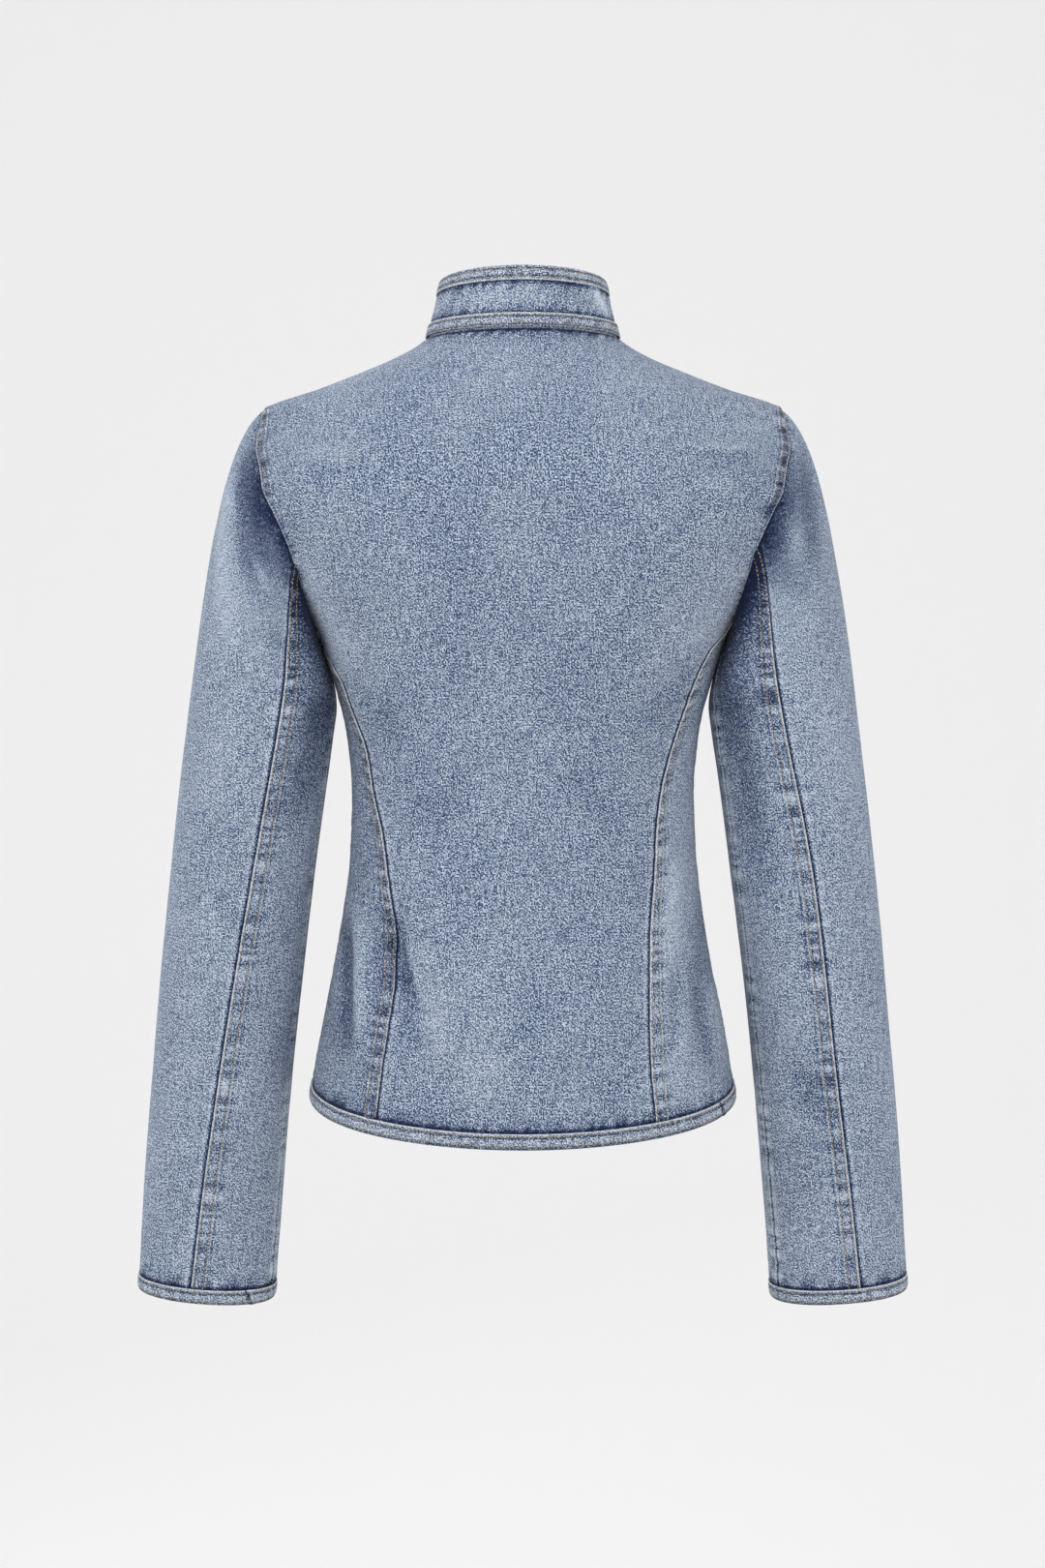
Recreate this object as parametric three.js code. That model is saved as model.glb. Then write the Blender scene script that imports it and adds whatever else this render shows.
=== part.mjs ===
// A fitted denim jacket with a stand collar and bound edges, in the hollow shape it has when it is worn.
// Millimetres, +Z up. The wearer would face -Y, with their left arm at +X. The origin is on the centre
// line, level with the high points of the shoulders, where the neck seam crosses the shoulder line.
// The body is one surface, a stack of level sections. A place on it is an angle round the body (0 at the
// wearer's left side, 90 degrees at the back) and a height, and each body panel is cut out of it there.
import * as THREE from "three";

const degrees = THREE.MathUtils.degToRad;
const { lerp, smoothstep } = THREE.MathUtils;

// Cloth and sewing
const DENIM = 1.4; // one layer
const COLLAR_DENIM = 2.4; // two layers and the interlining
const TAPE = 1.2; // bindings and bands, on top of what they cover
const SEAM_GAP = 0.3; // between any two pieces that are sewn together
const BINDING_DEPTH = 9;

// The body's level sections: half width at the side, depth to the back and to the front, and how square
// the outline is (2 is an ellipse). Above the armhole's foot the side is the outline the armhole is cut from.
const BODY = [
  { z: 8, side: 60, back: 59, front: 41, square: 2.0 },
  { z: 0, side: 67, back: 62, front: 45, square: 2.0 },
  { z: -6, side: 75, back: 64, front: 48, square: 1.95 },
  { z: -15, side: 92, back: 68, front: 52, square: 1.9 },
  { z: -25, side: 116, back: 73, front: 57, square: 1.85 },
  { z: -35, side: 143, back: 78, front: 62, square: 1.85 },
  { z: -47, side: 177, back: 83, front: 67, square: 1.9 },
  { z: -60, side: 188, back: 88, front: 73, square: 1.95 },
  { z: -84, side: 199, back: 95, front: 86, square: 2.05 },
  { z: -104, side: 199, back: 99, front: 96, square: 2.12 },
  { z: -124, side: 190, back: 101, front: 105, square: 2.2 },
  { z: -154, side: 172, back: 101, front: 116, square: 2.25 },
  { z: -188, side: 150, back: 98, front: 125, square: 2.3 },
  { z: -205, side: 140, back: 96, front: 127, square: 2.3 },
  { z: -233, side: 131.5, back: 92, front: 124, square: 2.3 },
  { z: -273, side: 121.6, back: 87, front: 111, square: 2.25 },
  { z: -314, side: 118, back: 85, front: 101, square: 2.2 },
  { z: -354, side: 119.3, back: 88, front: 98, square: 2.2 },
  { z: -394, side: 124, back: 93, front: 101, square: 2.2 },
  { z: -434, side: 130.7, back: 99, front: 106, square: 2.2 },
  { z: -474, side: 138.7, back: 105, front: 110, square: 2.2 },
  { z: -514, side: 146, back: 109, front: 113, square: 2.2 },
  { z: -560, side: 153, back: 112, front: 116, square: 2.2 },
];

// The cut edge of the cloth at the hem, inside its binding: level at the sides, longer at the back.
const HEM = { z: -520, backDrop: 27, frontDrop: -6, fadesOutAt: -360 };

const NECK = { side: 67, back: 62, front: 70 }; // the neck seam seen from above
const ARMHOLE = { top: -47, bottom: -205, backReach: degrees(30), frontReach: degrees(36) };

// The long seams from the armholes to the hem, as distances from the centre line. The side seams and the
// shoulder seams lie at angle 0. Then the place on the armhole where each long seam starts.
const PRINCESS = [
  { z: -186, backLeft: 139, backRight: 137.5, front: 138 },
  { z: -205, backLeft: 130.5, backRight: 127.5, front: 127 },
  { z: -233, backLeft: 116.5, backRight: 111, front: 113 },
  { z: -277, backLeft: 103.5, backRight: 97, front: 98 },
  { z: -326, backLeft: 93.5, backRight: 87.5, front: 87 },
  { z: -366, backLeft: 87.5, backRight: 84.5, front: 83 },
  { z: -412, backLeft: 82.5, backRight: 82.5, front: 84 },
  { z: -440, backLeft: 83, backRight: 82, front: 86 },
  { z: -475, backLeft: 88, backRight: 82.5, front: 90 },
  { z: -520, backLeft: 96, backRight: 86, front: 95 },
  { z: -550, backLeft: 100, backRight: 89, front: 98 },
];
const PRINCESS_TOP = { backLeft: degrees(141), backRight: degrees(139), front: degrees(218) };

// The fronts lap over the centre line, the wearer's right front on top.
const CLOSURE = { overlap: 24, lift: 2.9, fadesOutAt: 62 };
const BUTTON = { count: 6, first: -72, spacing: 84, cap: 8.5, shank: 4, shankHeight: 1.4, height: 4.6 };

// The stand collar: its top edge seen from above, its height all round, and the gap between its two ends.
const COLLAR_TOP = { side: 57.5, back: 56, front: 61 };
const COLLAR_HEIGHT = { back: 42, front: 35 };
const COLLAR_BAND = 9; // the strip over the neck seam
const COLLAR_END = degrees(2.2);

// The sleeve's sections below the armhole, square to its own line: the middle and the two half sizes.
const SLEEVE = [
  { z: -254, x: 179.3, y: 4, wide: 50.6, deep: 56 },
  { z: -334, x: 189.4, y: 4, wide: 49.8, deep: 53 },
  { z: -414, x: 198.8, y: 2, wide: 49, deep: 50 },
  { z: -494, x: 206.8, y: -3, wide: 48.3, deep: 46 },
  { z: -575, x: 214.2, y: -10, wide: 48.2, deep: 42 },
  { z: -659, x: 220.4, y: -19, wide: 47.6, deep: 38 },
];
const SLEEVE_SQUARE = 2.15;

// The sleeve's head: its share of the sleeve's length, how it leaves the armhole (the angle from level and
// the pull of both ends) and how far outside the body's own surface it starts.
const SLEEVE_HEAD = { share: 0.36, topAngle: -15, underarmAngle: -97, backward: 0.3, startPull: 0.43, endPull: 1.2 };
const SLEEVE_STAND_OFF = { top: 0.9, underarm: 3.4, sharpness: 2.2 };

// The sleeve's two long seams, as angles round it (0 outside, 90 at the back), from its head to its cuff.
const SLEEVE_SEAMS = [
  { at: 0, backLeft: 112, backRight: 104, innerLeft: 172, innerRight: 166 },
  { at: 0.36, backLeft: 108.5, backRight: 96, innerLeft: 170, innerRight: 160 },
  { at: 0.55, backLeft: 101.5, backRight: 86.7, innerLeft: 168, innerRight: 158 },
  { at: 0.75, backLeft: 91.5, backRight: 83.5, innerLeft: 166, innerRight: 156 },
  { at: 1, backLeft: 79.5, backRight: 75, innerLeft: 163, innerRight: 153 },
];

// The largest folds, each a soft line from one point to another: + stands out, - sinks in. On the body the
// points are the distance from the centre line and the height, on a sleeve the angle and the share down it.
const BODY_FOLDS = [
  { face: "back", x0: 90, z0: -386, x1: 66, z1: -478, width: 11, height: -2.2 },
  { face: "back", x0: 78, z0: -398, x1: 52, z1: -490, width: 12, height: 1.6 },
  { face: "back", x0: 118, z0: -395, x1: 124, z1: -500, width: 9, height: -2.4 },
  { face: "back", x0: 108, z0: -388, x1: 112, z1: -492, width: 9, height: 1.8 },
  { face: "back", x0: -102, z0: -350, x1: -100, z1: -440, width: 10, height: 2.2 },
  { face: "back", x0: -116, z0: -360, x1: -122, z1: -500, width: 10, height: -1.8 },
  { face: "back", x0: -152, z0: -150, x1: -122, z1: -232, width: 13, height: 1.8 },
  { face: "back", x0: 150, z0: -150, x1: 120, z1: -232, width: 13, height: 1.8 },
  { face: "front", x0: 112, z0: -235, x1: 70, z1: -300, width: 16, height: -2.6 },
  { face: "front", x0: -110, z0: -228, x1: -72, z1: -305, width: 16, height: -2.8 },
  { face: "front", x0: 96, z0: -350, x1: 78, z1: -480, width: 15, height: 2.4 },
  { face: "front", x0: -98, z0: -345, x1: -84, z1: -470, width: 15, height: 2.2 },
];
const SLEEVE_FOLDS = {
  left: [
    { angle0: 52, at0: 0.02, angle1: 78, at1: 0.2, width: 15, height: -4.5 },
    { angle0: 36, at0: 0.1, angle1: 62, at1: 0.3, width: 12, height: 2.6 },
    { angle0: 150, at0: 0.3, angle1: 132, at1: 0.5, width: 16, height: -3 },
    { angle0: 250, at0: 0.5, angle1: 318, at1: 0.57, width: 16, height: -3 },
    { angle0: 236, at0: 0.58, angle1: 306, at1: 0.63, width: 15, height: -2.4 },
  ],
  right: [
    { angle0: 44, at0: 0.05, angle1: 66, at1: 0.24, width: 15, height: -2.6 },
    { angle0: 140, at0: 0.28, angle1: 128, at1: 0.56, width: 14, height: -2.6 },
    { angle0: 118, at0: 0.72, angle1: 96, at1: 0.8, width: 12, height: -1.8 },
    { angle0: 244, at0: 0.49, angle1: 312, at1: 0.55, width: 16, height: -3 },
    { angle0: 240, at0: 0.57, angle1: 300, at1: 0.63, width: 15, height: -2.2 },
  ],
};

// Rows and columns of the walls. Where two pieces meet, their rows end in the same places.
const ROWS = { belowArmhole: 18, besideArmhole: 8, shoulder: 8, neck: 7 };
const COLUMNS = { back: 14, sideBack: 5, sideFront: 5, front: 8, sleeveTop: 18, sleeveUnder: 5, band: 40 };
const SLEEVE_ROWS = 20;

const SLOTS = {
  denim: new THREE.MeshStandardMaterial({ color: 0x8490a5, roughness: 0.9, metalness: 0 }),
  trim: new THREE.MeshStandardMaterial({ color: 0x8d99ab, roughness: 0.9, metalness: 0 }),
  metal: new THREE.MeshStandardMaterial({ color: 0x8e8a82, roughness: 0.35, metalness: 1 }),
};

// A smooth curve through one column of a table, which never overshoots between two rows.
function through(table, key, column) {
  const rows = [...table].sort((a, b) => a[key] - b[key]);
  const at = rows.map((row) => row[key]);
  const value = rows.map((row) => row[column]);
  const rise = at.slice(1).map((x, i) => (value[i + 1] - value[i]) / (x - at[i]));
  const slope = at.map((_, i) => {
    if (i === 0 || i === at.length - 1) return rise[Math.min(i, rise.length - 1)];
    return rise[i - 1] * rise[i] <= 0 ? 0 : (2 * rise[i - 1] * rise[i]) / (rise[i - 1] + rise[i]);
  });
  return (x) => {
    if (x <= at[0]) return value[0] + slope[0] * (x - at[0]);
    const last = at.length - 1;
    if (x >= at[last]) return value[last] + slope[last] * (x - at[last]);
    const i = at.findIndex((next) => next > x) - 1;
    const step = at[i + 1] - at[i];
    const t = (x - at[i]) / step;
    return (
      value[i] * (1 + 2 * t) * (1 - t) ** 2 +
      slope[i] * step * t * (1 - t) ** 2 +
      value[i + 1] * t * t * (3 - 2 * t) +
      slope[i + 1] * step * t * t * (t - 1)
    );
  };
}

const bodySize = Object.fromEntries(
  ["side", "back", "front", "square"].map((name) => [name, through(BODY, "z", name)]),
);

// A unit outline of the given squareness, as a distance from its middle.
const outline = (angle, square) =>
  (Math.abs(Math.cos(angle)) ** square + Math.abs(Math.sin(angle)) ** square) ** (-1 / square);

// How far a fold moves the cloth at a place that is `across` and `along` its own line.
function foldShape(fold, x, y, x0, y0, x1, y1) {
  const length = Math.hypot(x1 - x0, y1 - y0);
  const along = ((x - x0) * (x1 - x0) + (y - y0) * (y1 - y0)) / length;
  const across = ((x - x0) * (y1 - y0) - (y - y0) * (x1 - x0)) / length;
  const past = Math.max(0, -along, along - length);
  const ends = smoothstep(along, -fold.width, length * 0.3) * smoothstep(-along, -length - fold.width, -length * 0.6);
  return fold.height * Math.exp(-((across / fold.width) ** 2)) * ends * Math.exp(-((past / fold.width) ** 2));
}

// The body's outer surface at an angle and a level; levels near the hem follow the hem's own curve.
function bodyBare(angle, level) {
  const across = Math.sin(angle);
  const drop = (across > 0 ? HEM.backDrop : HEM.frontDrop) * Math.abs(across) ** 1.2;
  const z = level - drop * smoothstep(-level, -HEM.fadesOutAt, -HEM.z);
  const square = bodySize.square(z);
  const reach = outline(angle, square);
  const depth = across > 0 ? bodySize.back(z) : bodySize.front(z);
  return new THREE.Vector3(bodySize.side(z) * reach * Math.cos(angle), depth * reach * across, z);
}

// The direction that a surface faces, where its two parameters grow to the right and up as seen from outside.
function facing(surface, u, v, step) {
  const right = surface(u + step.u, v).sub(surface(u - step.u, v));
  const up = surface(u, v + step.v).sub(surface(u, v - step.v));
  return right.cross(up).normalize();
}
const bodyFacing = (angle, level) => facing(bodyBare, angle, level, { u: 0.01, v: 0.5 });

// The same surface with its folds, and lifted or sunk towards the front closure.
function body(angle, level, lift = 0) {
  const point = bodyBare(angle, level);
  const face = Math.sin(angle) > 0 ? "back" : "front";
  let out = 0;
  for (const fold of BODY_FOLDS)
    if (fold.face === face) out += foldShape(fold, point.x, point.z, fold.x0, fold.z0, fold.x1, fold.z1);
  if (face === "front") out += lift * smoothstep(-Math.abs(point.x), -CLOSURE.fadesOutAt, -CLOSURE.overlap / 2);
  return point.addScaledVector(bodyFacing(angle, level), out);
}

// The angle that lies `distance` further round the body at that level.
function further(angle, level, distance) {
  const step = 0.002;
  const speed = bodyBare(angle + step, level).distanceTo(bodyBare(angle - step, level)) / (2 * step);
  return angle + distance / speed;
}

// The angle at which the back or the front of the body is x from the centre line.
function angleAt(x, level, face) {
  let low = 0;
  let high = Math.PI;
  for (let i = 0; i < 40; i++) {
    const middle = (low + high) / 2;
    if (bodyBare(face === "back" ? middle : -middle, level).x > x) low = middle;
    else high = middle;
  }
  return face === "back" ? low : -low;
}

// The armhole, from 0 at the shoulder over the back (90 degrees) to the underarm (180) and up the front.
function armhole(turn) {
  const middle = (ARMHOLE.top + ARMHOLE.bottom) / 2;
  const half = (ARMHOLE.top - ARMHOLE.bottom) / 2;
  const reach = Math.sin(turn) > 0 ? ARMHOLE.backReach : ARMHOLE.frontReach;
  return { angle: reach * Math.sin(turn), level: middle + half * Math.cos(turn) };
}

// The neck seam: an oval seen from above, at the height where the body's surface has that outline.
function neckline(turn) {
  const x = NECK.side * Math.cos(turn);
  const depth = Math.sin(turn) > 0 ? NECK.back : NECK.front;
  const y = depth * Math.sin(turn);
  if (y >= 0) return { angle: turn, level: 0 };
  let low = -120;
  let high = 0;
  for (let i = 0; i < 40; i++) {
    const z = (low + high) / 2;
    const square = bodySize.square(z);
    const inside = Math.abs(x / bodySize.side(z)) ** square + Math.abs(y / bodySize.front(z)) ** square < 1;
    if (inside) low = z;
    else high = z;
  }
  return { angle: Math.atan2(y / bodySize.front(low), x / bodySize.side(low)), level: low };
}

// A panel between four edges: every row and column blends from one edge to the one across from it.
function panel({ low, high, start, end }) {
  return (u, v) => {
    const [a, b, c, d] = [start(v), end(v), low(u), high(u)];
    const [p, q, r, s] = [low(0), low(1), high(0), high(1)];
    const blend = (name) =>
      lerp(a[name], b[name], u) +
      lerp(c[name], d[name], v) -
      lerp(lerp(p[name], q[name], u), lerp(r[name], s[name], u), v);
    return { angle: blend("angle"), level: blend("level") };
  };
}

// The same panel on the wearer's other side.
const otherSide = (place) => (u, v) => {
  const there = place(1 - u, v);
  return { angle: Math.PI - there.angle, level: there.level };
};

// A cloth wall between an outer and an inner grid of points, closed along its four edges.
function wall(name, slot, [columns, rows], outer, inner) {
  const positions = [];
  for (const surface of [outer, inner])
    for (let j = 0; j <= rows; j++)
      for (let i = 0; i <= columns; i++) positions.push(...surface(i / columns, j / rows).toArray());
  const layer = (columns + 1) * (rows + 1);
  const at = (i, j, side) => side * layer + j * (columns + 1) + i;
  const faces = [];
  const quad = (a, b, c, d) => faces.push(a, b, c, a, c, d);
  for (let j = 0; j < rows; j++)
    for (let i = 0; i < columns; i++) {
      quad(at(i, j, 0), at(i + 1, j, 0), at(i + 1, j + 1, 0), at(i, j + 1, 0));
      quad(at(i, j, 1), at(i, j + 1, 1), at(i + 1, j + 1, 1), at(i + 1, j, 1));
    }
  for (let i = 0; i < columns; i++) {
    quad(at(i, 0, 1), at(i + 1, 0, 1), at(i + 1, 0, 0), at(i, 0, 0));
    quad(at(i, rows, 0), at(i + 1, rows, 0), at(i + 1, rows, 1), at(i, rows, 1));
  }
  for (let j = 0; j < rows; j++) {
    quad(at(0, j, 0), at(0, j + 1, 0), at(0, j + 1, 1), at(0, j, 1));
    quad(at(columns, j, 1), at(columns, j + 1, 1), at(columns, j + 1, 0), at(columns, j, 0));
  }
  const geometry = new THREE.BufferGeometry();
  geometry.setAttribute("position", new THREE.Float32BufferAttribute(positions, 3));
  geometry.setIndex(faces);
  geometry.computeVertexNormals();
  const mesh = new THREE.Mesh(geometry, SLOTS[slot]);
  mesh.name = name;
  return mesh;
}

// A binding folded over an edge: surface(u, depth) is the cloth's outer face, depth in from the cut edge.
function binding(name, columns, surface, thickness) {
  const path = (height) => (u, v) => {
    const edgePoint = surface(u, 0);
    const deep = surface(u, BINDING_DEPTH);
    const beyond = edgePoint.clone().sub(surface(u, 1)).normalize();
    const along = surface(u + 0.002, 0).sub(surface(u - 0.002, 0)).normalize();
    const out = along.cross(beyond.clone().negate()).normalize();
    const inside = -thickness - height;
    const stops = [
      deep.clone().addScaledVector(out, height),
      edgePoint.clone().addScaledVector(out, height),
      edgePoint.clone().addScaledVector(beyond, height).addScaledVector(out, height * 0.2),
      edgePoint.clone().addScaledVector(beyond, height).addScaledVector(out, -thickness - height * 0.2),
      edgePoint.clone().addScaledVector(out, inside),
      deep.clone().addScaledVector(out, inside),
    ];
    return stops[Math.round((1 - v) * (stops.length - 1))];
  };
  return wall(name, "trim", [columns, 5], path(SEAM_GAP + TAPE), path(SEAM_GAP));
}

// A stretch of a panel's edge: how many rows it takes, and the place on the body at a share of it.
const climb = (rows, from, to, angle) => ({
  rows,
  line: (t) => ({ angle: angle(lerp(from, to, t)), level: lerp(from, to, t) }),
});
const roundArmhole = (rows, from, to) => ({ rows, line: (t) => armhole(lerp(from, to, t)) });
const roundNeck = (rows, from, to) => ({ rows, line: (t) => neckline(lerp(from, to, t)) });
const straight = (rows, from, to) => ({
  rows,
  line: (t) => ({ angle: lerp(from.angle, to.angle, t), level: lerp(from.level, to.level, t) }),
});

// A whole edge, joined from stretches.
function edge(...stretches) {
  const total = stretches.reduce((sum, stretch) => sum + stretch.rows, 0);
  return (share) => {
    let row = share * total;
    for (const { rows, line } of stretches) {
      if (row <= rows + 1e-6) return line(row / rows);
      row -= rows;
    }
    return stretches.at(-1).line(1);
  };
}

// One cloth wall of a panel cut out of the body's surface.
function bodyWall(name, columns, rows, where, lift = 0) {
  const outer = (u, v) => {
    const at = where(u, v);
    return body(at.angle, at.level, lift);
  };
  const inner = (u, v) => {
    const at = where(u, v);
    return body(at.angle, at.level, lift).addScaledVector(bodyFacing(at.angle, at.level), -DENIM);
  };
  return wall(name, "denim", [columns, rows], outer, inner);
}

// A long seam's angle at a level, as if it were on the wearer's left. It swings out to the armhole on top.
const princessAcross = Object.fromEntries(
  Object.keys(PRINCESS_TOP).map((seam) => [seam, through(PRINCESS, "z", seam)]),
);
const PRINCESS_SWING = 40;
function princessAngle(seam, level) {
  const start = armhole(PRINCESS_TOP[seam]);
  const angle = angleAt(princessAcross[seam](level), level, seam === "front" ? "front" : "back");
  return lerp(start.angle, angle, smoothstep(start.level - level, 0, PRINCESS_SWING));
}
const princess = (seam, gap) =>
  climb(ROWS.belowArmhole, HEM.z, armhole(PRINCESS_TOP[seam]).level, (level) =>
    further(princessAngle(seam, level), level, gap),
  );
const besideSideSeam = (gap) =>
  climb(ROWS.belowArmhole, HEM.z, ARMHOLE.bottom, (level) => further(0, level, gap));
const hemBetween = (start, end) => (u) => ({ angle: lerp(start(0).angle, end(0).angle, u), level: HEM.z });
const besideShoulder = (gap) =>
  climb(ROWS.shoulder, ARMHOLE.top, 0, (level) => further(0, level, gap));

function backPanel() {
  const side = (seam) =>
    edge(
      princess(seam, SEAM_GAP / 2),
      roundArmhole(ROWS.besideArmhole, PRINCESS_TOP[seam], 0),
      besideShoulder(SEAM_GAP / 2),
    );
  const start = side("backLeft");
  const right = side("backRight");
  const end = (v) => ({ angle: Math.PI - right(v).angle, level: right(v).level });
  const high = (u) => ({ angle: lerp(start(1).angle, end(1).angle, u), level: 0 });
  const where = panel({ low: hemBetween(start, end), high, start, end });
  const rows = ROWS.belowArmhole + ROWS.besideArmhole + ROWS.shoulder;
  return bodyWall("back_panel", COLUMNS.back, rows, where);
}

function sidePanels(side) {
  const seam = side === "left" ? "backLeft" : "backRight";
  const mirrored = side === "left" ? (where) => where : otherSide;
  const back = { start: edge(besideSideSeam(SEAM_GAP / 2)), end: edge(princess(seam, -SEAM_GAP / 2)) };
  const backTop = (u) => armhole(lerp(Math.PI, PRINCESS_TOP[seam], u));
  const front = { start: edge(princess("front", SEAM_GAP / 2)), end: edge(besideSideSeam(-SEAM_GAP / 2)) };
  const frontTop = (u) => armhole(lerp(PRINCESS_TOP.front, Math.PI, u));
  const whereBack = panel({ low: hemBetween(back.start, back.end), high: backTop, ...back });
  const whereFront = panel({ low: hemBetween(front.start, front.end), high: frontTop, ...front });
  return [
    bodyWall(`side_back_${side}`, COLUMNS.sideBack, ROWS.belowArmhole, mirrored(whereBack)),
    bodyWall(`side_front_${side}`, COLUMNS.sideFront, ROWS.belowArmhole, mirrored(whereFront)),
  ];
}

// The front's free edge laps past the centre line; the right front is made as if it were the left one.
const frontEdgeAngle = (level) => angleAt(-CLOSURE.overlap / 2, level, "front");

function frontPanel(side) {
  const neckFoot = neckline(-Math.PI / 2);
  const lapLevel = neckFoot.level - 1;
  const lapCorner = { angle: frontEdgeAngle(lapLevel), level: lapLevel };
  const rows = ROWS.belowArmhole + ROWS.besideArmhole;
  const start = edge(
    climb(rows - ROWS.neck - 1, HEM.z, lapLevel, frontEdgeAngle),
    straight(1, lapCorner, neckFoot),
    roundNeck(ROWS.neck, -Math.PI / 2, 0),
  );
  const end = edge(
    princess("front", -SEAM_GAP / 2),
    roundArmhole(ROWS.besideArmhole, PRINCESS_TOP.front, 2 * Math.PI),
  );
  const seam = edge(besideShoulder(-SEAM_GAP / 2));
  const where = panel({ low: hemBetween(start, end), high: (u) => seam(1 - u), start, end });
  const mirrored = side === "left" ? where : otherSide(where);
  return bodyWall(`front_${side}`, COLUMNS.front, rows, mirrored, LIFT[side]);
}
const LIFT = { left: -CLOSURE.lift, right: CLOSURE.lift };

const sleeveSize = Object.fromEntries(
  ["x", "y", "wide", "deep"].map((name) => [name, through(SLEEVE, "z", name)]),
);
const sleeveSeam = Object.fromEntries(
  ["backLeft", "backRight", "innerLeft", "innerRight"].map((name) => [name, through(SLEEVE_SEAMS, "at", name)]),
);
const SLEEVE_TOP = SLEEVE[0].z;
const SLEEVE_END = SLEEVE.at(-1).z;

// The left sleeve below its head, at an angle round it and a share of its whole length.
function sleeveTube(angle, at) {
  const z = SLEEVE_TOP + ((at - SLEEVE_HEAD.share) / (1 - SLEEVE_HEAD.share)) * (SLEEVE_END - SLEEVE_TOP);
  const middle = (level) => new THREE.Vector3(sleeveSize.x(level), sleeveSize.y(level), level);
  const down = middle(z - 1).sub(middle(z + 1)).normalize();
  const outward = new THREE.Vector3(1, 0, 0).addScaledVector(down, -down.x).normalize();
  const backward = outward.clone().cross(down);
  const reach = outline(angle, SLEEVE_SQUARE);
  return middle(z)
    .addScaledVector(outward, sleeveSize.wide(z) * reach * Math.cos(angle))
    .addScaledVector(backward, sleeveSize.deep(z) * reach * Math.sin(angle));
}

// The whole left sleeve: its head runs from the armhole to the tube.
function sleeveBare(angle, at) {
  if (at >= SLEEVE_HEAD.share) return sleeveTube(angle, at);
  const under = (1 - Math.cos(angle)) / 2;
  const standOff = lerp(SLEEVE_STAND_OFF.top, SLEEVE_STAND_OFF.underarm, under ** SLEEVE_STAND_OFF.sharpness);
  const from = armhole(angle < 0 ? angle + 2 * Math.PI : angle % (2 * Math.PI));
  const start = bodyBare(from.angle, from.level);
  start.x += standOff;
  const end = sleeveTube(angle, SLEEVE_HEAD.share);
  const length = start.distanceTo(end);
  const leave = degrees(lerp(SLEEVE_HEAD.topAngle, SLEEVE_HEAD.underarmAngle, under));
  const out = new THREE.Vector3(Math.cos(leave), SLEEVE_HEAD.backward * Math.sin(angle), Math.sin(leave));
  const arrive = sleeveTube(angle, SLEEVE_HEAD.share + 0.01).sub(end).normalize();
  const t = at / SLEEVE_HEAD.share;
  return start
    .clone()
    .multiplyScalar((1 + 2 * t) * (1 - t) ** 2)
    .addScaledVector(out, SLEEVE_HEAD.startPull * length * t * (1 - t) ** 2)
    .addScaledVector(end, t * t * (3 - 2 * t))
    .addScaledVector(arrive, SLEEVE_HEAD.endPull * length * t * t * (t - 1));
}

// The sleeve with its folds. Across a fold, a degree is counted as the arc it spans on the sleeve.
const SLEEVE_ARC = { perDegree: 0.88, length: 620, radius: 50 };
function sleeve(side, angle, at) {
  const turned = ((THREE.MathUtils.radToDeg(angle) % 360) + 360) % 360;
  let out = 0;
  for (const fold of SLEEVE_FOLDS[side]) {
    const [x, y] = [turned * SLEEVE_ARC.perDegree, at * SLEEVE_ARC.length];
    const [x0, y0] = [fold.angle0 * SLEEVE_ARC.perDegree, fold.at0 * SLEEVE_ARC.length];
    const [x1, y1] = [fold.angle1 * SLEEVE_ARC.perDegree, fold.at1 * SLEEVE_ARC.length];
    out += foldShape(fold, x, y, x0, y0, x1, y1);
  }
  return sleeveBare(angle, at).addScaledVector(sleeveFacing(angle, at), out);
}
const sleeveFacing = (angle, at) =>
  facing((turn, up) => sleeveBare(turn, 1 - up), angle, 1 - at, { u: 0.01, v: 0.002 });

// A surface on the left sleeve, or the same one turned over for the right sleeve.
const onSleeve = (side, where) => {
  const left = (u, v, depth) => {
    const { angle, at } = where(u, v);
    return sleeve(side, angle, at).addScaledVector(sleeveFacing(angle, at), -depth);
  };
  if (side === "left") return left;
  return (u, v, depth) => {
    const point = left(1 - u, v, depth);
    point.x = -point.x;
    return point;
  };
};

function sleevePanels(side) {
  const back = sleeveSeam[side === "left" ? "backLeft" : "backRight"];
  const inner = sleeveSeam[side === "left" ? "innerLeft" : "innerRight"];
  const half = SEAM_GAP / 2 / SLEEVE_ARC.radius;
  const top = onSleeve(side, (u, v) => ({
    angle: lerp(degrees(inner(1 - v)) - 2 * Math.PI + half, degrees(back(1 - v)) - half, u),
    at: 1 - v,
  }));
  const under = onSleeve(side, (u, v) => ({
    angle: lerp(degrees(back(1 - v)) + half, degrees(inner(1 - v)) - half, u),
    at: 1 - v,
  }));
  const cut = (name, columns, surface) =>
    wall(name, "denim", [columns, SLEEVE_ROWS], (u, v) => surface(u, v, 0), (u, v) => surface(u, v, DENIM));
  return [
    cut(`sleeve_top_${side}`, COLUMNS.sleeveTop, top),
    cut(`sleeve_under_${side}`, COLUMNS.sleeveUnder, under),
  ];
}

// A way from 0 to 1 through angles, with as many even steps between each two as a piece there has columns.
function evenly(stops, columns) {
  const total = columns.reduce((sum, count) => sum + count, 0);
  const at = (u) => {
    let step = u * total;
    let i = 0;
    while (i < columns.length - 1 && step > columns[i]) step -= columns[i++];
    return lerp(stops[i], stops[i + 1], step / columns[i]);
  };
  return Object.assign(at, { columns: total });
}

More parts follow.
